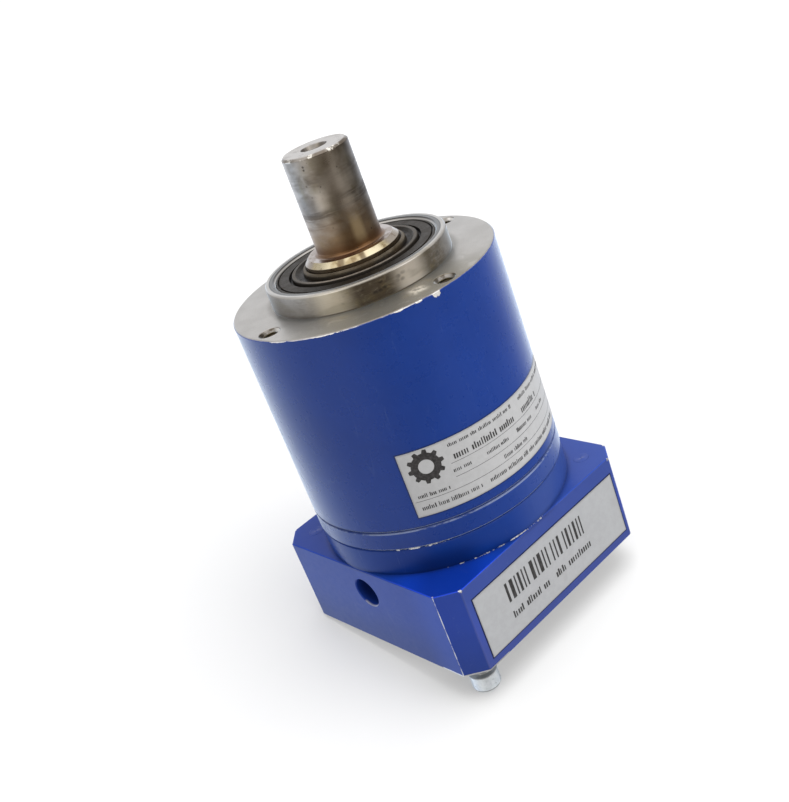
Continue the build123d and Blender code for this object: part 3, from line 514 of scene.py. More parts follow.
# ----------------------------------------------------------------------------------------------
# adapter block: enamel outside, milled aluminium on the motor side and inside
# ----------------------------------------------------------------------------------------------
def block_material():
    g = Mat("block_enamel_and_milled_alu")
    x, y, z, r, th = g.x, g.y, g.z, g.r, g.th
    ax, ay = abs(x), abs(y)
    a, b = ax.max(ay), ax.min(ay)
    side = (a - 45.0).max((a + b - 83.5) * (1 / sqrt(2)))          # 0 on the block's outline, negative inside
    da, db = a - 45.0, b - 38.5
    d_vert = (da * da + db * db).sqrt()                             # from the upright corner edges
    zt, zb = z + 88.7, z + 122.0
    d_top = (side * side + zt * zt).sqrt()
    d_bot = (side * side + zb * zb).sqrt()

    block_outer = g.smooth(-0.9, -0.55, side) * g.smooth(-122.25, -121.75, z) * g.smooth(-88.0, -88.4, z)
    top_face = g.smooth(-88.95, -88.78, z) * g.smooth(38.0, 38.2, r)
    boss = g.smooth(44.15, 44.35, r) * g.smooth(-88.9, -88.6, z)
    painted = block_outer.max(top_face).max(boss)
    # the access hole is masked when sprayed: only its mouth is blue inside
    hole = (x * x + (z + 99.1) * (z + 99.1)).sqrt()
    in_hole = g.smooth(5.62, 5.52, hole) * g.smooth(-20.0, -21.0, y)
    mouth = g.smooth(-33.0, -36.0, y + g.noise(g.P, 0.5, 2.0, 0.5) * 2.5)
    painted = g.mixf(in_hole, painted, mouth)

    cn = g.noise(g.vec(x + 11.0, y - 7.0, z * 1.1), 0.45, 5.0, 0.66, 0.25)
    cs = g.noise(g.P, 1.7, 4.0, 0.7)
    near_corner = g.smooth(20.0, 4.0, g.radius_at(41.75, -41.75))
    tips = g.smooth(1.9, 0.4, d_vert.max(abs(zt))).max(g.smooth(1.6, 0.4, d_vert.max(abs(zb))))
    v_zone = g.smooth(0.95, 0.05, d_vert)
    t_zone = g.smooth(0.75, 0.05, d_top)
    b_zone = g.smooth(0.90, 0.10, d_bot)
    w = cn * 0.62 + cs * 0.14
    left_edge = g.smooth(5.5, 3.5, g.radius_at(38.5, -45.0))
    seg = g.noise(g.P, 0.17, 4.0, 0.62)
    chips = g.smooth(0.72, 0.75, w + v_zone * 0.18)
    chips = chips.max(g.smooth(0.60, 0.68, g.smooth(0.46, 0.10, d_vert) * 0.40 + seg * 0.50) * left_edge)
    chips = chips.max(g.smooth(0.70, 0.73, w + t_zone * 0.20 + t_zone * near_corner * 0.03))
    chips = chips.max(g.smooth(0.60, 0.68, g.smooth(0.40, 0.10, d_top) * 0.40 + seg * 0.50) * g.smooth(8.5, 5.0, g.radius_at(41.75, -41.75)))
    chips = chips.max(g.smooth(0.60, 0.66, g.smooth(1.05, 0.70, d_bot) * 0.48 + seg * 0.50 - g.smooth(7.0, 20.0, g.radius_at(41.75, -41.75)) * 0.22))
    chips = chips.max(g.smooth(0.68, 0.71, w + b_zone * 0.26 + b_zone * near_corner * 0.12))
    chips = chips.max(g.smooth(0.66, 0.71, w + tips * 0.30))
    # round the root of the boss the enamel has broken away in short arcs
    root = (r - 44.8) * (r - 44.8) + zt * zt
    root_zone = g.smooth(0.9, 0.1, root.sqrt())
    root_near = g.smooth(40.0, 10.0, abs(th + 18.0))
    chips = chips.max(g.smooth(0.66, 0.71, cn * 0.62 + cs * 0.16 + root_zone * 0.15 + root_near * root_zone * 0.15))
    # upper edge of the boss, against the ring
    up = g.smooth(0.8, 0.08, abs(z + 78.95)) * boss
    chips = chips.max(g.smooth(0.76, 0.80, cn * 0.64 + up * 0.22 + up * g.smooth(24.0, 6.0, abs(th + 49.0)) * 0.26))
    field = g.smooth(0.80, 0.815, g.noise(g.P, 0.7, 2.0, 0.75)) * g.smooth(0.56, 0.62, g.noise(g.P, 0.09, 1.0, 0.5))
    # a bright crescent on one side of the access hole's rim, drawn as bare metal: worn edge and painted highlight
    rim = g.band(hole, 5.60, 0.16, 0.10) * g.smooth(-44.0, -44.8, y) * g.smooth(0.4, 2.2, x - (z + 99.1))
    chips = (chips.max(field * 0.8).max(rim * 0.45)) * painted
    is_paint = (painted * (1.0 - chips)).max(0.0)

    pc_block = paint_colour(g, BLOCK_PAINT, (0.0090, 0.0390, 0.2750))
    # painted shade: the enamel darker towards the bottom of the block
    low_side_shade = g.smooth(-100.0, -121.0, z + (g.noise(g.P, 0.06, 3.0, 0.5) - 0.5) * 10.0)
    pc_block = g.mix(low_side_shade * 0.46, pc_block, (0.006, 0.026, 0.140))
    # the label side darker towards its top, with a dry haze of wear; the top face gets a lighter, bluer copy of the
    # enamel as painted light
    label_side = g.smooth(44.6, 44.9, x)
    pc_block = g.mix(label_side * g.smooth(-108.0, -90.0, z) * 0.30, pc_block, (0.014, 0.042, 0.120))
    pc_block = g.mix(label_side * g.lin(-118.0, -92.0, z, 0.085, 0.060), pc_block, (0.34, 0.29, 0.24))
    # painted light: the -Y face lighter and bluer towards its front corner
    pc_block = g.mix(g.smooth(22.0, 36.0, x) * g.smooth(-44.6, -44.9, y) * 0.45, pc_block, (0.020, 0.070, 0.440))
    pc_block = g.mix(g.smooth(82.6, 83.4, x - y) * 0.020, pc_block, (0.34, 0.29, 0.26))
    # painted light: a lighter, bluer copy of the enamel on the top face, brighter in the -X -Y quarter and brightest
    # near the front corner, which lies in shade
    front_top_painted_light = top_face * g.smooth(34.0, 14.0, g.radius_at(44.0, -44.0))
    pc_block = g.mix(top_face, pc_block, (0.0125, 0.0520, 0.3650))
    pc_block = g.mix(top_face * g.smooth(6.0, -18.0, x) * g.smooth(6.0, -18.0, y), pc_block, (0.0200, 0.0720, 0.5300))
    pc_block = g.mix(front_top_painted_light, pc_block, (0.0060, 0.0600, 0.9000))
    pc_boss = paint_colour(g, PAINT, PAINT_DEEP)
    pc_boss = g.mix(g.smooth(-16.0, 6.0, th) * 0.085, pc_boss, (0.26, 0.32, 0.52))
    pc = g.mix(boss, pc_block, pc_boss)
    # painted shade inside the access hole
    pc = g.mix(in_hole * g.smooth(-44.9, -42.0, y) * 0.60, pc, (0.0025, 0.009, 0.070))
    sc = scuffs(g, 0.16)
    pc = g.mix(sc * painted, pc, (0.10, 0.14, 0.34))
    # painted shade in the corner where boss and block meet and on the boss's lower front, and a dark line of dirt along
    # the label's edge
    pc = g.mix(g.smooth(1.8, 0.2, root.sqrt()) * 0.35, pc, (0.005, 0.012, 0.06))
    pc = g.mix(boss * g.smooth(-79.5, -86.0, z) * g.smooth(19.0, 6.0, abs(th + 44.0)) * 0.60, pc, (0.0012, 0.0085, 0.070))
    ly, lz = g.band(y, 0.6, 36.60, 0.20), g.band(z, -106.55, 12.25, 0.20)
    on_side = g.smooth(44.7, 44.9, x)
    pc = g.mix(ly * lz * on_side * 0.85, pc, (0.004, 0.007, 0.035))

    # milled aluminium: arcs of the face cutter on the motor face, rings in the turned bores
    arcs_c = ((x + 95.0) * (x + 95.0) + (y - 20.0) * (y - 20.0)).sqrt()
    arcs = g.noise(None, 1.6, 3.0, 0.6, dims="1D", w=arcs_c)
    arcs_fine = (arcs_c * (2 * pi / 0.85)).sin() * 0.5 + 0.5
    rings = g.noise(None, 5.0, 3.0, 0.65, dims="1D", w=r + z * 0.7)
    on_motor_face = g.smooth(-121.6, -121.9, z)
    turn = g.mixf(on_motor_face, rings, arcs * 0.7 + arcs_fine * 0.3)
    cloud = g.noise(g.P, 0.07, 4.0, 0.6)
    bare = g.mix(g.smooth(0.3, 0.7, cloud), (0.56, 0.56, 0.555), (0.68, 0.68, 0.675))
    bare = g.mix(g.smooth(0.35, 0.7, turn) * 0.20, bare, (0.44, 0.44, 0.44))
    grime = g.smooth(0.52, 0.70, g.noise(g.P, 0.11, 5.0, 0.65, 0.6))
    bare = g.mix(grime * 0.40, bare, (0.16, 0.145, 0.12))
    # overspray creeps a millimetre or two onto the motor face
    over = g.smooth(-2.8, -0.7, side + g.noise(g.P, 0.7, 3.0, 0.6) * 1.8) * on_motor_face * 0.75
    bare = g.mix(over * g.smooth(0.45, 0.6, cs), bare, (0.05, 0.09, 0.34))
    # painted shade deeper in the access hole
    hole_depth_shade = in_hole * (1.0 - mouth)
    bare = g.mix(hole_depth_shade * 0.5, bare, (0.10, 0.10, 0.11))
    chip_col = g.mix(g.noise(g.P, 2.0, 2.0, 0.5), (0.90, 0.90, 0.91), (0.62, 0.63, 0.66))
    bare = g.mix(chips, bare, chip_col)

    metal = 1.0 - is_paint
    peel = g.noise(g.P, 1.1, 3.0, 0.5)
    hb = (peel * 0.008 + 0.09) * is_paint + turn * 0.016 * metal
    c = 50 * cos(radians(45))
    hb = hb + thread_bump(g, ((c, c), (-c, c), (-c, -c)), 1.0, 2.5) * 0.35
    rough_paint = g.lin(0.3, 0.7, g.noise(g.P, 0.4, 4.0, 0.6), 0.28, 0.38) + sc * 0.12
    rough_bare = g.lin(0.25, 0.75, turn, 0.26, 0.42) + grime * 0.12
    g.set(color=g.mix(is_paint, bare, pc), metallic=metal, rough=g.mixf(is_paint, rough_bare, rough_paint), normal=g.bump(hb, 0.001))
    enamel_gloss(g, 0.19, 0.0)
    return g.mat


# ----------------------------------------------------------------------------------------------
# output shaft
# ----------------------------------------------------------------------------------------------
def shaft_material():
    g = Mat("shaft_ground_steel_worn")
    x, y, z, r, th = g.x, g.y, g.z, g.r, g.th
    free = g.smooth(11.0, 11.6, z) * g.smooth(13.0, 11.8, r)
    # ground steel, grey with a warm cast, in soft broad patches
    cloud = g.noise(g.vec(x * 0.13, y * 0.13, z * 0.17), 1.0, 3.0, 0.5, 0.2)
    patch = g.noise(g.vec(x * 0.17 + 3.0, y * 0.17, z * 0.26), 1.0, 3.0, 0.5, 0.3)
    grind = g.noise(g.vec(x * 0.25, y * 0.25, z * 7.0), 1.0, 3.0, 0.7)
    col = g.mix(g.smooth(0.32, 0.68, cloud), (0.215, 0.188, 0.158), (0.415, 0.385, 0.355))
    col = g.mix(g.smooth(0.4, 0.8, grind) * 0.12, col, (0.20, 0.18, 0.16))
    # worn marks where a hub sat: soft fretted belts, broken up round the shaft
    fret = g.noise(g.vec(x * 0.13, y * 0.13, z * 1.1), 1.0, 4.0, 0.60, 0.2)
    slant = z - (th + 60.0) * 0.015
    belt1 = g.band(slant, 25.2, 0.6, 1.5)
    belt2 = g.band(slant, 21.4, 0.2, 1.0) * 0.6
    belt3 = g.band(z, 36.0, 0.6, 2.4) * 0.35
    belt4 = g.band(z, 28.6, 0.4, 1.2) * g.smooth(-38.0, -22.0, th) * 0.9
    belts = belt1.max(belt2).max(belt3).max(belt4)
    f = g.smooth(0.40, 0.66, fret + belts * 0.12) * (0.12 + belts * 0.88)
    col = g.mix(f * free * 0.66, col, (0.075, 0.062, 0.052))
    bright = g.smooth(0.46, 0.74, patch) * free
    col = g.mix(bright * 0.42, col, (0.56, 0.53, 0.49))
    olive = g.smooth(0.50, 0.68, g.noise(g.vec(x * 0.2 - 7, y * 0.2, z * 0.16), 1.0, 3.0, 0.55)) * free
    col = g.mix(olive * 0.35, col, (0.23, 0.205, 0.130))
    # painted highlight: a lighter upright streak at one angle above the root
    col = g.mix(g.smooth(24.0, 8.0, abs(th + 26.0)) * g.smooth(21.0, 27.0, z) * free * 0.22, col, (0.62, 0.58, 0.53))
    # heat and grease tint towards the root of the shaft, ragged upper limit
    limit = z + (g.noise(g.vec(x * 0.14, y * 0.14, z * 0.3), 1.0, 3.0, 0.6) - 0.5) * 9.0
    tint = g.smooth(29.0, 14.5, limit) * free
    rust = g.mix(g.noise(g.vec(x * 0.24, y * 0.24, z * 0.5), 1.0, 3.0, 0.6), (0.185, 0.105, 0.052), (0.385, 0.265, 0.145))
    col = g.mix(tint * 0.80, col, rust)
    root = g.smooth(16.2, 12.4, z) * g.smooth(13.0, 11.6, r)
    # painted light on the free end: both flanks darker as painted shade, soft bright spots as painted highlights, and a
    # golden painted highlight above the root
    lit_spots_painted = g.smooth(19.0, 4.0, abs(th + 52.0)) * g.smooth(4.2, 1.0, abs(z - 29.0))
    col = g.mix(g.smooth(-60.0, -74.0, th) * g.smooth(4.5, 1.5, abs(z - 28.0)) * free * 0.45, col, (0.130, 0.115, 0.105))
    col = g.mix(g.smooth(8.0, 24.0, th) * g.smooth(100.0, 70.0, th) * free * 0.35, col, (0.120, 0.108, 0.098))
    lit_spots_painted = lit_spots_painted.max(g.smooth(20.0, 5.0, abs(th + 15.0)) * g.smooth(3.0, 0.8, abs(z - 26.2)) * 0.6)
    col = g.mix(lit_spots_painted * free * 0.55, col, (0.64, 0.595, 0.55))
    painted_golden_glow = g.smooth(15.0, 5.0, abs(th + 13.0)) * g.smooth(24.0, 18.0, z) * g.smooth(11.8, 14.0, z)
    col = g.mix(painted_golden_glow * free * 0.60, col, (0.66, 0.53, 0.33))
    col = g.mix(root * 0.72, col, (0.185, 0.085, 0.032))
    # pits
    pits = g.smooth(0.20, 0.10, g.cells(g.vec(x * 0.42, y * 0.42, z * 0.42), 1.0)) * g.smooth(0.54, 0.64, g.noise(g.P, 0.16, 1.0, 0.5))
    col = g.mix(pits * free * 0.70, col, (0.055, 0.046, 0.038))
    # shoulder: greyish pink on top; its chamfer gold, with pale painted highlights at two angles, short brown streaks,
    # and greyer towards both flanks
    top = g.smooth(11.7, 12.4, r) * g.smooth(14.6, 14.2, r) * g.smooth(10.6, 10.9, z)
    col = g.mix(top * 0.92, col, g.mix(g.smooth(0.4, 0.6, patch), (0.40, 0.345, 0.315), (0.56, 0.515, 0.50)))
    col = g.mix(top * g.smooth(34.0, 18.0, abs(th + 58.0)) * 0.80, col, (0.165, 0.090, 0.050))
    col = g.mix(top * g.smooth(24.0, 10.0, abs(th + 12.0)) * 0.75, col, (0.560, 0.420, 0.215))
    bevel = g.smooth(14.15, 14.5, r) * g.smooth(9.2, 9.5, z)
    sh_n = g.noise(g.vec(x * 0.22, y * 0.22, z * 0.4), 1.0, 3.0, 0.55)
    gold = g.mix(g.smooth(0.38, 0.66, sh_n), (0.400, 0.310, 0.165), (0.640, 0.540, 0.345))
    cream_highlight = g.smooth(21.0, 7.0, abs(th + 77.0)).max(g.smooth(17.0, 6.0, abs(th + 11.0)))
    gold = g.mix(cream_highlight * g.smooth(0.30, 0.52, sh_n + cream_highlight * 0.12) * 0.80, gold, (0.850, 0.745, 0.520))
    brown = g.smooth(7.0, 2.0, abs(th + 53.0)).max(g.smooth(5.0, 1.5, abs(th + 26.0)))
    gold = g.mix(brown * 0.80, gold, (0.130, 0.085, 0.045))
    dull = g.smooth(-92.0, -104.0, th).max(g.smooth(4.0, 18.0, th))
    gold = g.mix(dull * 0.75, gold, (0.400, 0.355, 0.335))
    col = g.mix(bevel * 0.95, col, gold)
    jour = g.smooth(15.6, 15.8, r) * g.smooth(9.5, 9.2, z) * g.smooth(-1.0, 0.0, z)
    col = g.mix(jour * 0.85, col, (0.20, 0.145, 0.085))
    grease = g.smooth(0.55, 0.66, g.noise(g.P, 0.30, 4.0, 0.6)) * bevel.max(top)
    col = g.mix(grease * 0.55, col, (0.17, 0.105, 0.050))
    # end face: lighter, turned; its rim has a few knocks, pushed bright in two stretches as painted highlight and dark
    # in two others as painted shade
    tip = g.smooth(43.55, 43.8, z)
    rings = g.noise(None, 4.0, 3.0, 0.65, dims="1D", w=r)
    tip_c = g.mix(g.smooth(0.3, 0.7, rings), (0.52, 0.495, 0.47), (0.64, 0.615, 0.585))
    tip_c = g.mix(g.smooth(0.5, 0.68, g.noise(g.P, 0.3, 4.0, 0.65)) * 0.40, tip_c, (0.27, 0.245, 0.215))
    col = g.mix(tip, col, tip_c)
    rim = g.smooth(0.80, 0.30, abs(z - 43.45)) * g.smooth(9.9, 10.3, r)
    kn = g.noise(g.vec(x, y, z * 0.6), 0.33, 4.0, 0.7)
    highlight_run = g.smooth(13.0, 6.0, abs(th + 53.0)).max(g.smooth(11.0, 5.0, abs(th + 8.0)))
    shade_run = g.smooth(14.0, 7.0, abs(th + 29.0)).max(g.smooth(16.0, 9.0, abs(th - 24.0)))
    knock = g.smooth(0.56, 0.64, kn + highlight_run * 0.13 - shade_run * 0.10)
    col = g.mix(rim * knock * 0.80, col, (0.93, 0.89, 0.82))
    col = g.mix(rim * (1.0 - knock) * (0.30 + shade_run * 0.50), col, (0.150, 0.118, 0.090))
    # centre hole, dark inside with oil and painted shade, its bevel darkened in two arcs on opposite sides as painted
    # shade
    bore = g.smooth(3.62, 3.45, r) * g.smooth(20.0, 22.0, z)
    col = g.mix(bore * g.smooth(43.2, 39.5, z) * 0.75, col, (0.120, 0.095, 0.070))
    cone = g.smooth(4.50, 4.30, r) * g.smooth(3.25, 3.45, r) * g.smooth(42.0, 42.4, z)
    bevel_shade_arc = g.smooth(46.0, 22.0, abs(th + 132.0)).max(g.smooth(40.0, 18.0, abs(th - 46.0)))
    col = g.mix(cone * (0.12 + bevel_shade_arc * 0.75), col, (0.070, 0.055, 0.042))
    # inside the casing the carrier is plain machined steel with an oil film
    hidden = g.smooth(-0.4, -1.2, z)
    oil = g.mix(g.noise(g.P, 0.15, 3.0, 0.6), (0.40, 0.375, 0.34), (0.53, 0.505, 0.47))
    col = g.mix(hidden, col, oil)
    rough = g.lin(0.25, 0.75, cloud, 0.24, 0.36) + f * free * 0.14 + tint * 0.05 + pits * 0.2 - bevel * 0.05
    rough = rough + tip * 0.06
    hb = grind * 0.004 - f * free * 0.012 - pits * free * 0.05 + tip * rings * 0.012 - rim * knock * 0.05
    m8 = thread_bump(g, ((0, 0),), 1.25, 3.4)
    hb = hb + m8 * bore * 0.4
    g.set(color=col, metallic=1.0, rough=rough, normal=g.bump(hb, 0.001))
    return g.mat


# ----------------------------------------------------------------------------------------------
# seal: dark rubber, dusty on its crests, wiped and greasy near the lip; painted shade in its grooves and on the front
# of its flat ring, a painted highlight on the crest's front side
# ----------------------------------------------------------------------------------------------
def seal_material():
    g = Mat("seal_rubber_dusty")
    z, r, th = g.z, g.r, g.th
    base = g.mix(g.noise(g.P, 0.25, 4.0, 0.6), (0.012, 0.010, 0.008), (0.024, 0.020, 0.016))
    # broad flat ring, a little greyer where dust lies
    flat = g.band(r, 24.45, 1.55, 0.25)
    worn = g.noise(g.vec(g.x, g.y, z), 0.30, 5.0, 0.62)
    turn = g.noise(None, 7.0, 3.0, 0.65, dims="1D", w=r)
    c = g.mix(flat * g.lin(0.3, 0.7, worn, 0.1, 0.8), base, (0.026, 0.021, 0.017))
    # painted shade: the flat ring darker on its front side
    c = g.mix(flat * g.smooth(62.0, 22.0, abs(th + 42.0)) * 0.75, c, (0.0035, 0.0028, 0.0022))
    crest = g.band(r, 20.85, 0.42, 0.22)
    # dust on the crests, with a painted highlight strongest on the front side
    c = g.mix(crest * g.lin(0.3, 0.65, worn, 0.5, 1.0) * (0.30 + g.smooth(60.0, 25.0, abs(th + 42.0)) * 0.70), c, (0.185, 0.160, 0.135))
    slope = g.band(r, 17.0, 0.38, 0.22)
    c = g.mix(slope * g.lin(0.3, 0.7, worn, 0.3, 0.9), c, (0.120, 0.098, 0.070))
    outer = g.smooth(26.6, 27.0, r)
    c = g.mix(outer * g.lin(0.3, 0.7, worn, 0.4, 0.9), c, (0.085, 0.080, 0.075))
    # painted shade: the seal's grooves and outer joint near black
    groove_shade = g.band(r, 22.2, 0.38, 0.12).max(g.band(r, 26.42, 0.12, 0.08)).max(g.band(r, 18.5, 0.7, 0.2) * 0.8)
    c = g.mix(groove_shade * 0.95, c, (0.0030, 0.0028, 0.0040))
    # greasy brown film near the shaft, worst on one side
    film = g.smooth(22.0, 17.5, r) * g.smooth(0.40, 0.60, g.noise(g.vec(th * 0.04, r * 0.5, 2.0), 1.0, 3.0, 0.6))
    film = film * (0.4 + g.smooth(75.0, 30.0, abs(th + 25.0)) * 0.6)
    c = g.mix(film * 0.55, c, (0.040, 0.027, 0.014))
    grit = g.smooth(0.16, 0.07, g.cells(g.P, 0.9)) * g.smooth(0.5, 0.6, g.noise(g.P, 0.2, 2.0, 0.5))
    c = g.mix(grit * 0.35, c, (0.24, 0.22, 0.19))
    rough = g.lin(0.3, 0.7, worn, 0.30, 0.50) - film * 0.08
    hb = turn * 0.020 + worn * 0.018 + grit * 0.05
    g.set(color=c, metallic=0.0, rough=rough, normal=g.bump(hb, 0.001))
    g.bsdf.inputs["Specular IOR Level"].default_value = 0.085
    return g.mat


def plain_rubber(name, base=(0.016, 0.016, 0.017)):
    g = Mat(name)
    n = g.noise(g.P, 0.5, 4.0, 0.6)
    c = g.mix(n, tuple(v * 0.75 for v in base), tuple(v * 1.7 for v in base))
    dust = g.smooth(0.58, 0.75, g.noise(g.P, 0.18, 5.0, 0.65))
    c = g.mix(dust * 0.35, c, (0.12, 0.115, 0.105))
    g.set(color=c, metallic=0.0, rough=g.lin(0.3, 0.7, n, 0.42, 0.62), normal=g.bump(n * 0.02 + g.noise(g.P, 4.0, 2.0, 0.5) * 0.006, 0.001))
    return g.mat


# ----------------------------------------------------------------------------------------------
# metals of the inner pieces and the screws
# ----------------------------------------------------------------------------------------------
def machined(name, lo, hi, rough=(0.22, 0.36), axis=True, grain=5.0, oil=(0.30, 0.24, 0.14), oil_amount=0.18, relief=0.010):
    """Turned or ground steel: rings round the axis, cloudiness and a thin film of oil."""
    g = Mat(name)
    cloud = g.noise(g.P, 0.18, 4.0, 0.6)
    if axis:
        lines = g.noise(None, grain, 3.0, 0.65, dims="1D", w=g.r + g.z * 0.8)
    else:
        lines = g.noise(g.stretched(0.15, 0.15, 1.0), grain * 0.6, 3.0, 0.65)
    c = g.mix(g.smooth(0.3, 0.7, cloud), lo, hi)
    c = g.mix(g.smooth(0.4, 0.75, lines) * 0.2, c, tuple(v * 0.62 for v in lo))
    film = g.smooth(0.48, 0.72, g.noise(g.P, 0.09, 3.0, 0.6, 0.4))
    c = g.mix(film * oil_amount, c, oil)
    g.set(color=c, metallic=1.0, rough=g.lin(0.25, 0.75, lines, rough[0], rough[1]) + film * 0.04, normal=g.bump(lines * relief + cloud * 0.01, 0.001))
    return g.mat


def screw_black():
    g = Mat("screw_black_oxide")
    n = g.noise(g.P, 0.9, 4.0, 0.6)
    c = g.mix(n, (0.016, 0.016, 0.018), (0.045, 0.044, 0.046))
    worn = g.smooth(0.62, 0.74, g.noise(g.P, 1.6, 4.0, 0.7))
    c = g.mix(worn * 0.4, c, (0.22, 0.21, 0.20))
    g.set(color=c, metallic=1.0, rough=g.lin(0.3, 0.7, n, 0.34, 0.50), normal=g.bump(n * 0.02, 0.001))
    return g.mat


def screw_zinc():
    g = Mat("screw_zinc")
    cx, cy = 35.355, -35.355
    rr = g.radius_at(cx, cy)
    n = g.noise(g.P, 0.8, 4.0, 0.6)
    spangle = g.cells(g.P, 2.4)
    c = g.mix(g.smooth(0.3, 0.7, n), (0.70, 0.765, 0.83), (0.86, 0.92, 0.98))
    c = g.mix(g.smooth(0.2, 0.7, spangle) * 0.12, c, (0.62, 0.67, 0.70))
    # white bloom of old zinc, and grime in the socket and the thread
    bloom = g.smooth(0.55, 0.72, g.noise(g.P, 0.45, 5.0, 0.65))
    c = g.mix(bloom * 0.35, c, (0.88, 0.89, 0.88))
    sock = g.smooth(3.05, 2.7, rr) * g.smooth(-133.2, -132.6, g.z) * g.smooth(-129.8, -130.2, g.z)
    c = g.mix(sock * 0.55, c, (0.20, 0.20, 0.19))
    # painted shade: darker where it sits in the block's shadow and down both flanks as seen from the front, and a
    # painted contact shadow round the lower rim
    c = g.mix(g.smooth(-128.1, -127.5, g.z) * 0.60, c, (0.12, 0.12, 0.13))
    flank_shade = abs((g.x - cx) * 0.554 + (g.y - cy) * 0.833) * g.smooth(4.6, 4.85, rr)
    c = g.mix(g.smooth(4.15, 4.95, flank_shade) * 0.80, c, (0.16, 0.19, 0.22))
    # painted contact shadow round the lower rim, with metal and gloss turned down
    rim = g.smooth(-132.75, -133.15, g.z) * g.smooth(4.1, 4.5, rr)
    c = g.mix(rim * 0.92, c, (0.030, 0.034, 0.038))
    thr = g.smooth(2.98, 2.62, rr) * g.smooth(-127.6, -127.4, g.z)
    c = g.mix(thr * 0.60, c, (0.18, 0.17, 0.15))
    rough = g.lin(0.3, 0.7, n, 0.26, 0.40) + bloom * 0.10
    g.set(color=c, metallic=0.62 - rim * 0.60, rough=rough + rim * 0.25, normal=g.bump(n * 0.012 + spangle * 0.006, 0.001))
    return g.mat


# ----------------------------------------------------------------------------------------------
# labels: grey film with plain marks
# ----------------------------------------------------------------------------------------------
def film_base(g, s, t, half_s, half_t, tone):
    """silvery grey film, with a lifted, dirty edge"""
    n = g.noise(g.P, 0.5, 4.0, 0.6)
    fibre = g.noise(g.P, 5.0, 2.0, 0.6)
    c = g.mix(g.smooth(0.3, 0.7, n), tuple(v * 0.955 for v in tone), tuple(v * 1.03 for v in tone))
    smudge = g.smooth(0.56, 0.74, g.noise(g.P, 0.11, 5.0, 0.62, 0.5))
    c = g.mix(smudge * 0.14, c, (0.26, 0.25, 0.24))
    edge = g.smooth(0.75, 0.05, (half_s - abs(s)).min(half_t - abs(t)))
    c = g.mix(edge * g.lin(0.3, 0.7, n, 0.15, 0.6), c, (0.17, 0.165, 0.17))
    return c, n, fibre


def body_label_material():
    g = Mat("label_film_body")
    k = 45.15 * pi / 180
    s = g.th * k                           # along the wall, mm, from the +X line
    t = g.z + 122.0                        # above the motor face, mm
    c, n, fibre = film_base(g, s + 2.15 * k, t - 65.8, 45.65 * k, 11.6, (0.390, 0.396, 0.408))
    g.set(color=c, metallic=0.0, rough=g.lin(0.3, 0.7, n, 0.36, 0.48), normal=g.bump(fibre * 0.004 + n * 0.01, 0.001))
    return g.mat


def block_label_material():
    g = Mat("label_film_block")
    c, n, fibre = film_base(g, g.y - 0.6, g.z + 122.0 - 15.45, 36.2, 11.85, (0.335, 0.345, 0.362))
    g.set(color=c, metallic=0.0, rough=g.lin(0.3, 0.7, n, 0.44, 0.56), normal=g.bump(fibre * 0.004 + n * 0.01, 0.001))
    return g.mat


def ink_material():
    g = Mat("label_ink")
    n = g.noise(g.P, 1.3, 3.0, 0.6)
    c = g.mix(g.smooth(0.35, 0.75, n), (0.016, 0.015, 0.016), (0.050, 0.048, 0.050))
    g.set(color=c, metallic=0.0, rough=g.lin(0.3, 0.7, n, 0.42, 0.58), normal=g.bump(n * 0.002, 0.001))
    return g.mat


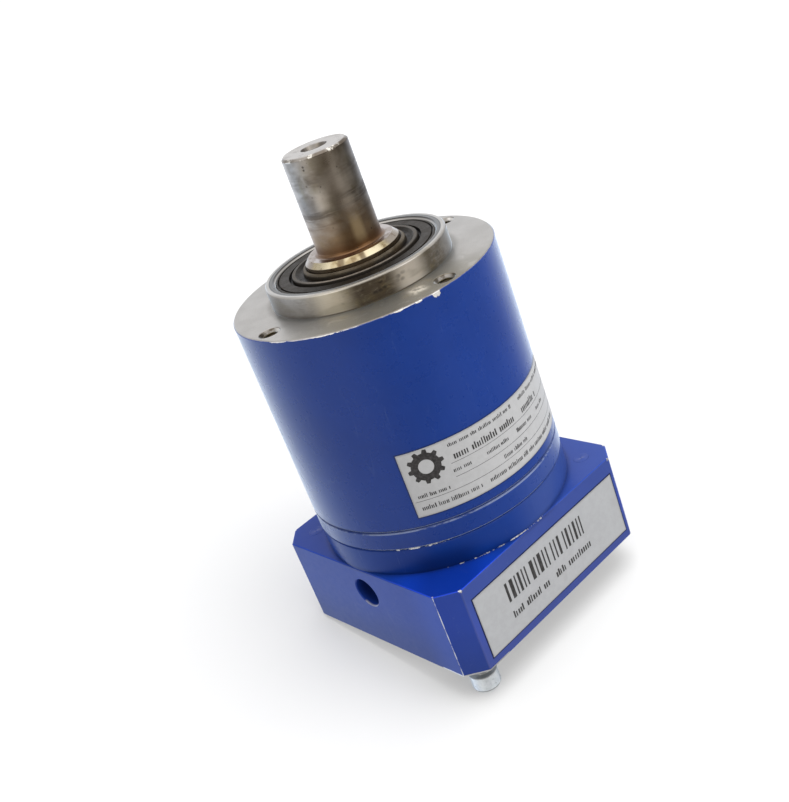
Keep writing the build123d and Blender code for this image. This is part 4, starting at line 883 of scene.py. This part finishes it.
class Print:
    """Ink on a label as thin raised patches, given in the label's own millimetres."""

    def __init__(self, place, sink=0.012, lift=0.014):
        self.v, self.f, self.place, self.hs = [], [], place, (-sink, lift)

    def bar(self, s0, s1, t0, t1):
        lo, hi = self.hs
        n = max(1, int((s1 - s0) / 0.9 + 0.999))
        base = len(self.v)
        for i in range(n + 1):
            s = s0 + (s1 - s0) * i / n
            for t, h in ((t0, lo), (t1, lo), (t1, hi), (t0, hi)):
                self.v.append(self.place(s, t, h))
        for i in range(n):
            a, b = base + 4 * i, base + 4 * (i + 1)
            for k in range(4):
                k2 = (k + 1) % 4
                self.f.append((a + k, a + k2, b + k2, b + k))
        e = base + 4 * n
        self.f.append((base + 3, base + 2, base + 1, base))
        self.f.append((e, e + 1, e + 2, e + 3))

    def wheel(self, cs, ct, r_in, r_out, depth, teeth):
        """a plain toothed wheel with a round hole"""
        prof = (0.5, 0, 0, 0, 0, 0, 0, 0.5, 1, 1, 1, 1, 1, 1, 1, 1)
        m, n = teeth * 16, 8
        lo, hi = self.hs
        base = len(self.v)
        for i in range(m):
            a = 2 * pi * i / m
            ro = r_out - depth * prof[i % 16]
            for j in range(n + 1):
                q = r_in + (ro - r_in) * j / n
                for h in (lo, hi):
                    self.v.append(self.place(cs + q * cos(a), ct + q * sin(a), h))
        w = 2 * (n + 1)
        for i in range(m):
            a, b = base + w * i, base + w * ((i + 1) % m)
            for j in range(n):
                c, d = 2 * j, 2 * (j + 1)
                self.f.append((a + c, a + d, b + d, b + c))
                self.f.append((a + c + 1, b + c + 1, b + d + 1, a + d + 1))
            self.f.append((a, b, b + 1, a + 1))
            self.f.append((a + 2 * n, a + 2 * n + 1, b + 2 * n + 1, b + 2 * n))

    def ticks(self, s0, s1, tc, h, pitch, seed):
        """a line of plain upright strokes in groups, where small print would be"""
        rng = random.Random(seed)
        s, left = s0, rng.randint(5, 11)
        while s < s1 - 0.3 * pitch:
            w = pitch * rng.uniform(0.24, 0.38)
            tall = rng.choice((0.72, 0.72, 0.74, 1.0))
            self.bar(s, s + w, tc - h / 2, tc - h / 2 + h * tall)
            s += pitch * rng.uniform(0.50, 0.62)
            left -= 1
            if left == 0:
                s += pitch * 0.65
                left = rng.randint(4, 11)

    def piece(self, name, mat):
        me = bpy.data.meshes.new(name)
        me.from_pydata(self.v, [], self.f)
        me.validate()
        bm = bmesh.new()
        bm.from_mesh(me)
        bmesh.ops.recalc_face_normals(bm, faces=bm.faces)
        bm.to_mesh(me)
        bm.free()
        me.materials.append(mat)
        o = bpy.data.objects.new(name, me)
        bpy.context.scene.collection.objects.link(o)
        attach(o, "casing")
        return o


def build_prints():
    ink = ink_material()
    wall = 45.15
    k = wall * pi / 180

    def on_wall(s, t, h):
        a = s / wall
        return ((wall + h) * cos(a) * MM, (wall + h) * sin(a) * MM, (t - 122.0) * MM)

    p = Print(on_wall)
    rows = (
        # start and end in degrees round the wall, height of the line's middle, stroke height, pitch
        (-27.0, 6.0, 75.2, 1.30, 1.02), (11.0, 43.0, 75.2, 1.30, 1.02),
        (-26.0, 6.0, 71.0, 2.40, 1.62), (11.0, 25.0, 71.0, 2.40, 1.62),
        (-28.0, -20.0, 66.3, 1.40, 1.02), (-12.6, -0.5, 66.3, 1.30, 1.00),
        (4.6, 17.3, 66.3, 1.45, 1.05), (21.6, 31.0, 66.3, 1.30, 1.00),
        (-45.0, -31.5, 61.5, 1.40, 1.00), (-5.7, 9.6, 61.5, 1.40, 1.00),
        (-45.0, -18.6, 57.2, 1.60, 1.08), (-15.0, 37.6, 57.2, 1.60, 1.08),
    )
    for i, (a0, a1, tc, h, pitch) in enumerate(rows):
        p.ticks(a0 * k, a1 * k, tc, h, pitch, 100 + i)
    for a0, a1, tt in ((-27.9, 42.8, 68.85), (-27.9, 42.8, 63.9), (-46.9, 42.8, 59.8)):
        p.bar(a0 * k, a1 * k, tt - 0.06, tt + 0.06)
    p.wheel(-37.6 * k, 71.05, 2.5, 6.0, 1.15, 10)
    p.piece("body_label_print", ink)

    def on_side(s, t, h):
        return ((45.15 + h) * MM, s * MM, (t - 122.0) * MM)

    q = Print(on_side)
    rng = random.Random(7)
    s = -22.2
    while s < 18.6:
        w = rng.choice((0.62, 0.62, 1.05, 1.55))
        q.bar(s, s + w, 15.9, 23.3)
        s += w + rng.choice((0.95, 1.15, 1.45, 1.95))
    q.ticks(-22.3, -3.0, 10.9, 2.7, 2.0, 31)
    q.ticks(0.0, 18.8, 10.9, 2.7, 2.0, 32)
    q.piece("adapter_label_print", ink)


def give(mat, *names):
    for n in names:
        o = nodes[n]
        o.data.materials.clear()
        o.data.materials.append(mat)


give(housing_material(), "housing")
give(ring_material(), "intermediate_ring")
give(block_material(), "adapter_plate")
give(shaft_material(), "output_shaft")
give(seal_material(), "output_seal")
give(plain_rubber("input_seal_rubber", (0.020, 0.018, 0.017)), "input_seal")
give(plain_rubber("o_ring_rubber", (0.010, 0.010, 0.011)), "housing_o_ring", "adapter_o_ring")
race = machined("bearing_race_ground", (0.50, 0.49, 0.475), (0.64, 0.63, 0.615), (0.14, 0.24), grain=9.0, relief=0.004)
give(race, "front_bearing_outer_race", "front_bearing_inner_race", "rear_bearing_outer_race", "rear_bearing_inner_race",
     "input_bearing_outer_race", "input_bearing_inner_race")
ball = machined("bearing_ball_polished", (0.60, 0.595, 0.585), (0.70, 0.695, 0.685), (0.06, 0.12), axis=False, relief=0.001, oil_amount=0.10)
give(ball, "front_bearing_balls", "rear_bearing_balls", "input_bearing_balls")
cage = machined("bearing_cage_pressed", (0.36, 0.35, 0.33), (0.50, 0.485, 0.46), (0.32, 0.46), axis=False, relief=0.012)
give(cage, "front_bearing_cage", "rear_bearing_cage", "input_bearing_cage", "needle_cage_1", "needle_cage_2", "needle_cage_3")
needle = machined("needle_ground", (0.52, 0.515, 0.50), (0.63, 0.62, 0.61), (0.12, 0.20), axis=False, relief=0.003)
give(needle, "needle_rollers_1", "needle_rollers_2", "needle_rollers_3", "planet_pins")
gear = machined("gear_case_hardened", (0.27, 0.265, 0.26), (0.42, 0.41, 0.40), (0.26, 0.40), grain=3.0, relief=0.014, oil=(0.24, 0.17, 0.08), oil_amount=0.30)
give(gear, "planet_gear_1", "planet_gear_2", "planet_gear_3")
hub = machined("input_hub_turned", (0.40, 0.385, 0.36), (0.55, 0.53, 0.50), (0.24, 0.38), grain=4.0, relief=0.012, oil_amount=0.25)
give(hub, "input_shaft")
clamp = machined("clamp_ring_turned", (0.46, 0.455, 0.44), (0.60, 0.59, 0.57), (0.28, 0.42), grain=4.0, relief=0.014)
give(clamp, "clamp_ring")
spacer = machined("spacer_turned", (0.42, 0.41, 0.39), (0.55, 0.54, 0.52), (0.25, 0.38))
give(spacer, "bearing_spacer", "planet_washers_front", "planet_washers_rear", "output_seal_case")
spring = machined("spring_steel_oiled", (0.12, 0.115, 0.11), (0.24, 0.235, 0.225), (0.30, 0.44), axis=False, relief=0.010)
give(spring, "bearing_retaining_ring", "shaft_retaining_ring", "pin_retaining_rings", "input_shaft_retaining_ring",
     "input_bearing_retaining_ring", "output_seal_spring", "input_seal_spring")
give(screw_black(), "ring_screws", "adapter_screws", "clamp_screw")
give(body_label_material(), "body_label")
give(block_label_material(), "adapter_label")


# ----------------------------------------------------------------------------------------------
# the motor screw, with its rolled thread, rounded head and bevelled socket
# ----------------------------------------------------------------------------------------------
def build_motor_screw():
    lo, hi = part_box("motor_screw")
    cx, cy = (lo.x + hi.x) / 2 / MM, (lo.y + hi.y) / 2 / MM
    z0, z1 = lo.z / MM, hi.z / MM                 # head's outer end, tip
    n = 120
    head_r, head_h, af = 5.0, 6.0, 5.0
    rings = []                                     # each ring is (list of radii, z) or a centre point

    def hexr(t):
        t = (t + pi / 6) % (pi / 3) - pi / 6
        return af / 2 / cos(t)

    ang = [2 * pi * i / n for i in range(n)]
    zs = z0 + 3.2
    rings.append(("c", zs + 0.75))
    rings.append(([0.9] * n, zs + 0.50))
    rings.append(([min(hexr(t), 2.52) * 0.985 for t in ang], zs))
    rings.append(([hexr(t) for t in ang], zs - 0.05))
    rings.append(([hexr(t) for t in ang], z0 + 0.42))
    rings.append(([max(hexr(t), 2.62) for t in ang], z0 + 0.30))
    rings.append(([max(hexr(t), 2.86) for t in ang], z0 + 0.12))
    rings.append(([3.02] * n, z0 + 0.02))
    rings.append(([3.10] * n, z0))
    rings.append(([4.35] * n, z0))
    for k in range(0, 7):
        a = radians(90 * k / 6)
        rings.append(([head_r - 0.55 + 0.55 * sin(a)] * n, z0 + 0.55 - 0.55 * cos(a)))
    for zz in (1.4, 2.8, 4.2, 5.2):
        rings.append(([head_r] * n, z0 + zz))
    for k in range(0, 4):
        a = radians(90 * k / 3)
        rings.append(([head_r - 0.22 + 0.22 * cos(a)] * n, z0 + head_h - 0.22 + 0.22 * sin(a)))
    rings.append(([4.45] * n, z0 + head_h))
    rings.append(([3.42] * n, z0 + head_h))
    rings.append(([3.16] * n, z0 + head_h + 0.08))
    rings.append(([2.99] * n, z0 + head_h + 0.30))
    pitch, major, minor = 1.0, 2.975, 2.45
    zt = z0 + head_h + 0.30
    steps = 14
    total = int((z1 - 0.9 - zt) / pitch * steps)
    for j in range(1, total):
        zz = zt + j * pitch / steps
        fade = min(1.0, (zz - zt) / 0.9) * min(1.0, (z1 - 0.6 - zz) / 0.8)
        rr = []
        for t in ang:
            ph = (zz / pitch - t / (2 * pi)) % 1.0
            d = abs(ph - 0.5) * 2                       # 0 in the root, 1 on the crest
            prof = min(1.0, max(0.0, (d - 0.14) / 0.72))
            rr.append(major - (major - minor) * (1 - prof) * max(0.0, fade))
        rings.append((rr, zz))
    rings.append(([2.72] * n, z1 - 0.70))
    rings.append(([2.10] * n, z1))
    rings.append(("c", z1))

    verts, faces, prev = [], [], None
    for item, zz in [(r[0], r[1]) for r in rings]:
        if isinstance(item, str):
            verts.append((cx * MM, cy * MM, zz * MM))
            cur = [len(verts) - 1]
        else:
            base = len(verts)
            for t, q in zip(ang, item):
                verts.append(((cx + q * cos(t)) * MM, (cy + q * sin(t)) * MM, zz * MM))
            cur = list(range(base, base + n))
        if prev is not None:
            if len(prev) == 1:
                faces += [(prev[0], cur[i], cur[(i + 1) % n]) for i in range(n)]
            elif len(cur) == 1:
                faces += [(prev[i], cur[0], prev[(i + 1) % n]) for i in range(n)]
            else:
                faces += [(prev[i], cur[i], cur[(i + 1) % n], prev[(i + 1) % n]) for i in range(n)]
        prev = cur
    me = bpy.data.meshes.new("motor_screw_threaded")
    me.from_pydata(verts, [], faces)
    me.validate()
    bm = bmesh.new()
    bm.from_mesh(me)
    bmesh.ops.recalc_face_normals(bm, faces=bm.faces)
    bm.to_mesh(me)
    bm.free()
    me.shade_smooth()
    me.set_sharp_from_angle(angle=radians(34))
    o = bpy.data.objects.new("motor_screw_threaded", me)
    bpy.context.scene.collection.objects.link(o)
    me.materials.append(screw_zinc())
    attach(o, "casing")
    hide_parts("motor_screw")
    return o


build_motor_screw()
build_prints()


# ----------------------------------------------------------------------------------------------
# floor, light and surroundings
# ----------------------------------------------------------------------------------------------
def make_floor():
    slope = 0.1516
    size = 3.0
    pts = []
    for sx, sy in ((-1, -1), (1, -1), (1, 1), (-1, 1)):
        px, py = sx * size, sy * size
        pz = -0.1221 - slope * (px + 0.045)
        pts.append((px, py, pz))
    me = bpy.data.meshes.new("floor")
    me.from_pydata(pts, [], [(0, 1, 2, 3)])
    o = bpy.data.objects.new("floor", me)
    bpy.context.scene.collection.objects.link(o)
    mat = bpy.data.materials.new("floor_paper")
    mat.use_nodes = True
    g = Tree(mat.node_tree)
    g.nt.nodes.clear()
    out = g.n("ShaderNodeOutputMaterial")
    tc = g.n("ShaderNodeTexCoord")
    n = g.noise(tc.outputs["Object"], 6.0, 3.0, 0.5)
    d = g.n("ShaderNodeBsdfDiffuse")
    g.put(d.inputs["Color"], g.mix(n, (0.500, 0.503, 0.507), (0.514, 0.517, 0.521)))
    e = g.n("ShaderNodeEmission")
    e.inputs["Color"].default_value = (1, 1, 1, 1)
    # painted light: the paper glows brighter towards its far edges
    geo = g.n("ShaderNodeNewGeometry")
    ln = g.n("ShaderNodeVectorMath", operation="LENGTH")
    g.nt.links.new(geo.outputs["Position"], ln.inputs[0])
    far_glow = g.smooth(0.24, 0.60, F(g, ln.outputs["Value"]))
    g.put(e.inputs["Strength"], far_glow * 0.25 + FLOOR_GLOW)
    add = g.n("ShaderNodeAddShader")
    g.nt.links.new(d.outputs[0], add.inputs[0])
    g.nt.links.new(e.outputs[0], add.inputs[1])
    tr = g.n("ShaderNodeBsdfTransparent")
    mx = g.n("ShaderNodeMixShader")
    g.nt.links.new(geo.outputs["Backfacing"], mx.inputs[0])
    g.nt.links.new(add.outputs[0], mx.inputs[1])
    g.nt.links.new(tr.outputs[0], mx.inputs[2])
    g.nt.links.new(mx.outputs[0], out.inputs["Surface"])
    me.materials.append(mat)
    o.visible_glossy = False
    return o


FLOOR_GLOW = 0.27


def make_world():
    w = bpy.data.worlds.new("studio")
    bpy.context.scene.world = w
    w.use_nodes = True
    g = Tree(w.node_tree)
    g.nt.nodes.clear()
    out = g.n("ShaderNodeOutputWorld")
    tc = g.n("ShaderNodeTexCoord")
    sep = g.n("ShaderNodeSeparateXYZ")
    g.nt.links.new(tc.outputs["Generated"], sep.inputs[0])
    x, y, z = (F(g, sep.outputs[i]) for i in range(3))
    az = g.m("ARCTAN2", y, x) * (1 / (2 * pi)) + 0.5        # 0..1 from -180 to 180 degrees

    def a(deg):
        return (deg + 180.0) / 360.0

    # the belt a little below the horizon, as the upright metal sees it: white paper left and behind,
    # dim room on the camera's side, with two soft windows
    belt = g.ramp(az, [
        (a(-180), (1.26, 1.36, 1.52)),
        (a(-148), (1.05, 1.21, 1.44)),
        (a(-122), (0.90, 0.96, 1.05)),
        (a(-100), (0.78, 0.78, 0.78)),
        (a(-76), (0.84, 0.80, 0.73)),
        (a(-58), (0.52, 0.48, 0.42)),
        (a(-42), (0.27, 0.235, 0.19)),
        (a(-20), (0.20, 0.165, 0.13)),
        (a(6), (0.42, 0.38, 0.33)),
        (a(26), (0.26, 0.23, 0.19)),
        (a(52), (0.24, 0.22, 0.19)),
        (a(76), (0.24, 0.235, 0.23)),
        (a(104), (0.68, 0.72, 0.80)),
        (a(140), (1.36, 1.46, 1.64)),
        (a(180), (1.26, 1.36, 1.52)),
    ], "EASE")
    upper = g.ramp(az, [
        (a(-180), (0.76, 0.76, 0.77)),
        (a(-145), (0.50, 0.50, 0.50)),
        (a(-105), (0.36, 0.355, 0.35)),
        (a(-88), (0.80, 0.77, 0.70)),
        (a(-77), (1.55, 1.47, 1.30)),
        (a(-66), (0.75, 0.70, 0.62)),
        (a(-46), (0.28, 0.25, 0.21)),
        (a(-14), (0.32, 0.29, 0.25)),
        (a(4), (0.95, 0.90, 0.82)),
        (a(14), (2.30, 2.22, 2.06)),
        (a(26), (0.85, 0.81, 0.75)),
        (a(46), (0.42, 0.40, 0.37)),
        (a(92), (0.80, 0.80, 0.80)),
        (a(146), (0.94, 0.94, 0.95)),
        (a(180), (0.76, 0.76, 0.77)),
    ], "EASE")
    lower = g.mix(g.smooth(-0.85, -0.45, z), (0.62, 0.62, 0.63), belt)
    col = g.mix(g.smooth(-0.12, 0.30, z), lower, upper)
    top = g.smooth(0.55, 0.90, z)
    col = g.mix(top, col, (1.45, 1.45, 1.46))
    lp = g.n("ShaderNodeLightPath")
    col = g.mix(F(g, lp.outputs["Is Camera Ray"]), col, (1.0, 1.0, 1.0))
    bg = g.n("ShaderNodeBackground")
    g.nt.links.new(col, bg.inputs["Color"])
    bg.inputs["Strength"].default_value = 1.0
    g.nt.links.new(bg.outputs[0], out.inputs["Surface"])
    return w


def area(name, pos, target, size, power, colour=(1, 1, 1)):
    d = bpy.data.lights.new(name, "AREA")
    d.shape = "RECTANGLE"
    d.size, d.size_y = size
    d.energy = power
    d.color = colour
    o = bpy.data.objects.new(name, d)
    bpy.context.scene.collection.objects.link(o)
    o.location = pos
    o.rotation_mode = "QUATERNION"
    o.rotation_quaternion = (Vector(target) - Vector(pos)).to_track_quat("-Z", "Y")
    return o


make_floor()
make_world()
area("soft_top", (0.34, 0.18, 1.12), (0, 0, -0.06), (0.9, 0.9), 11.0).visible_glossy = False
area("soft_right", (0.95, 0.62, -0.02), (0, 0, -0.06), (0.7, 0.34), 6.0).visible_glossy = False

view = bpy.context.scene.view_settings
view.view_transform = "Standard"
view.look = "None"
view.exposure = 0.0
view.gamma = 1.0
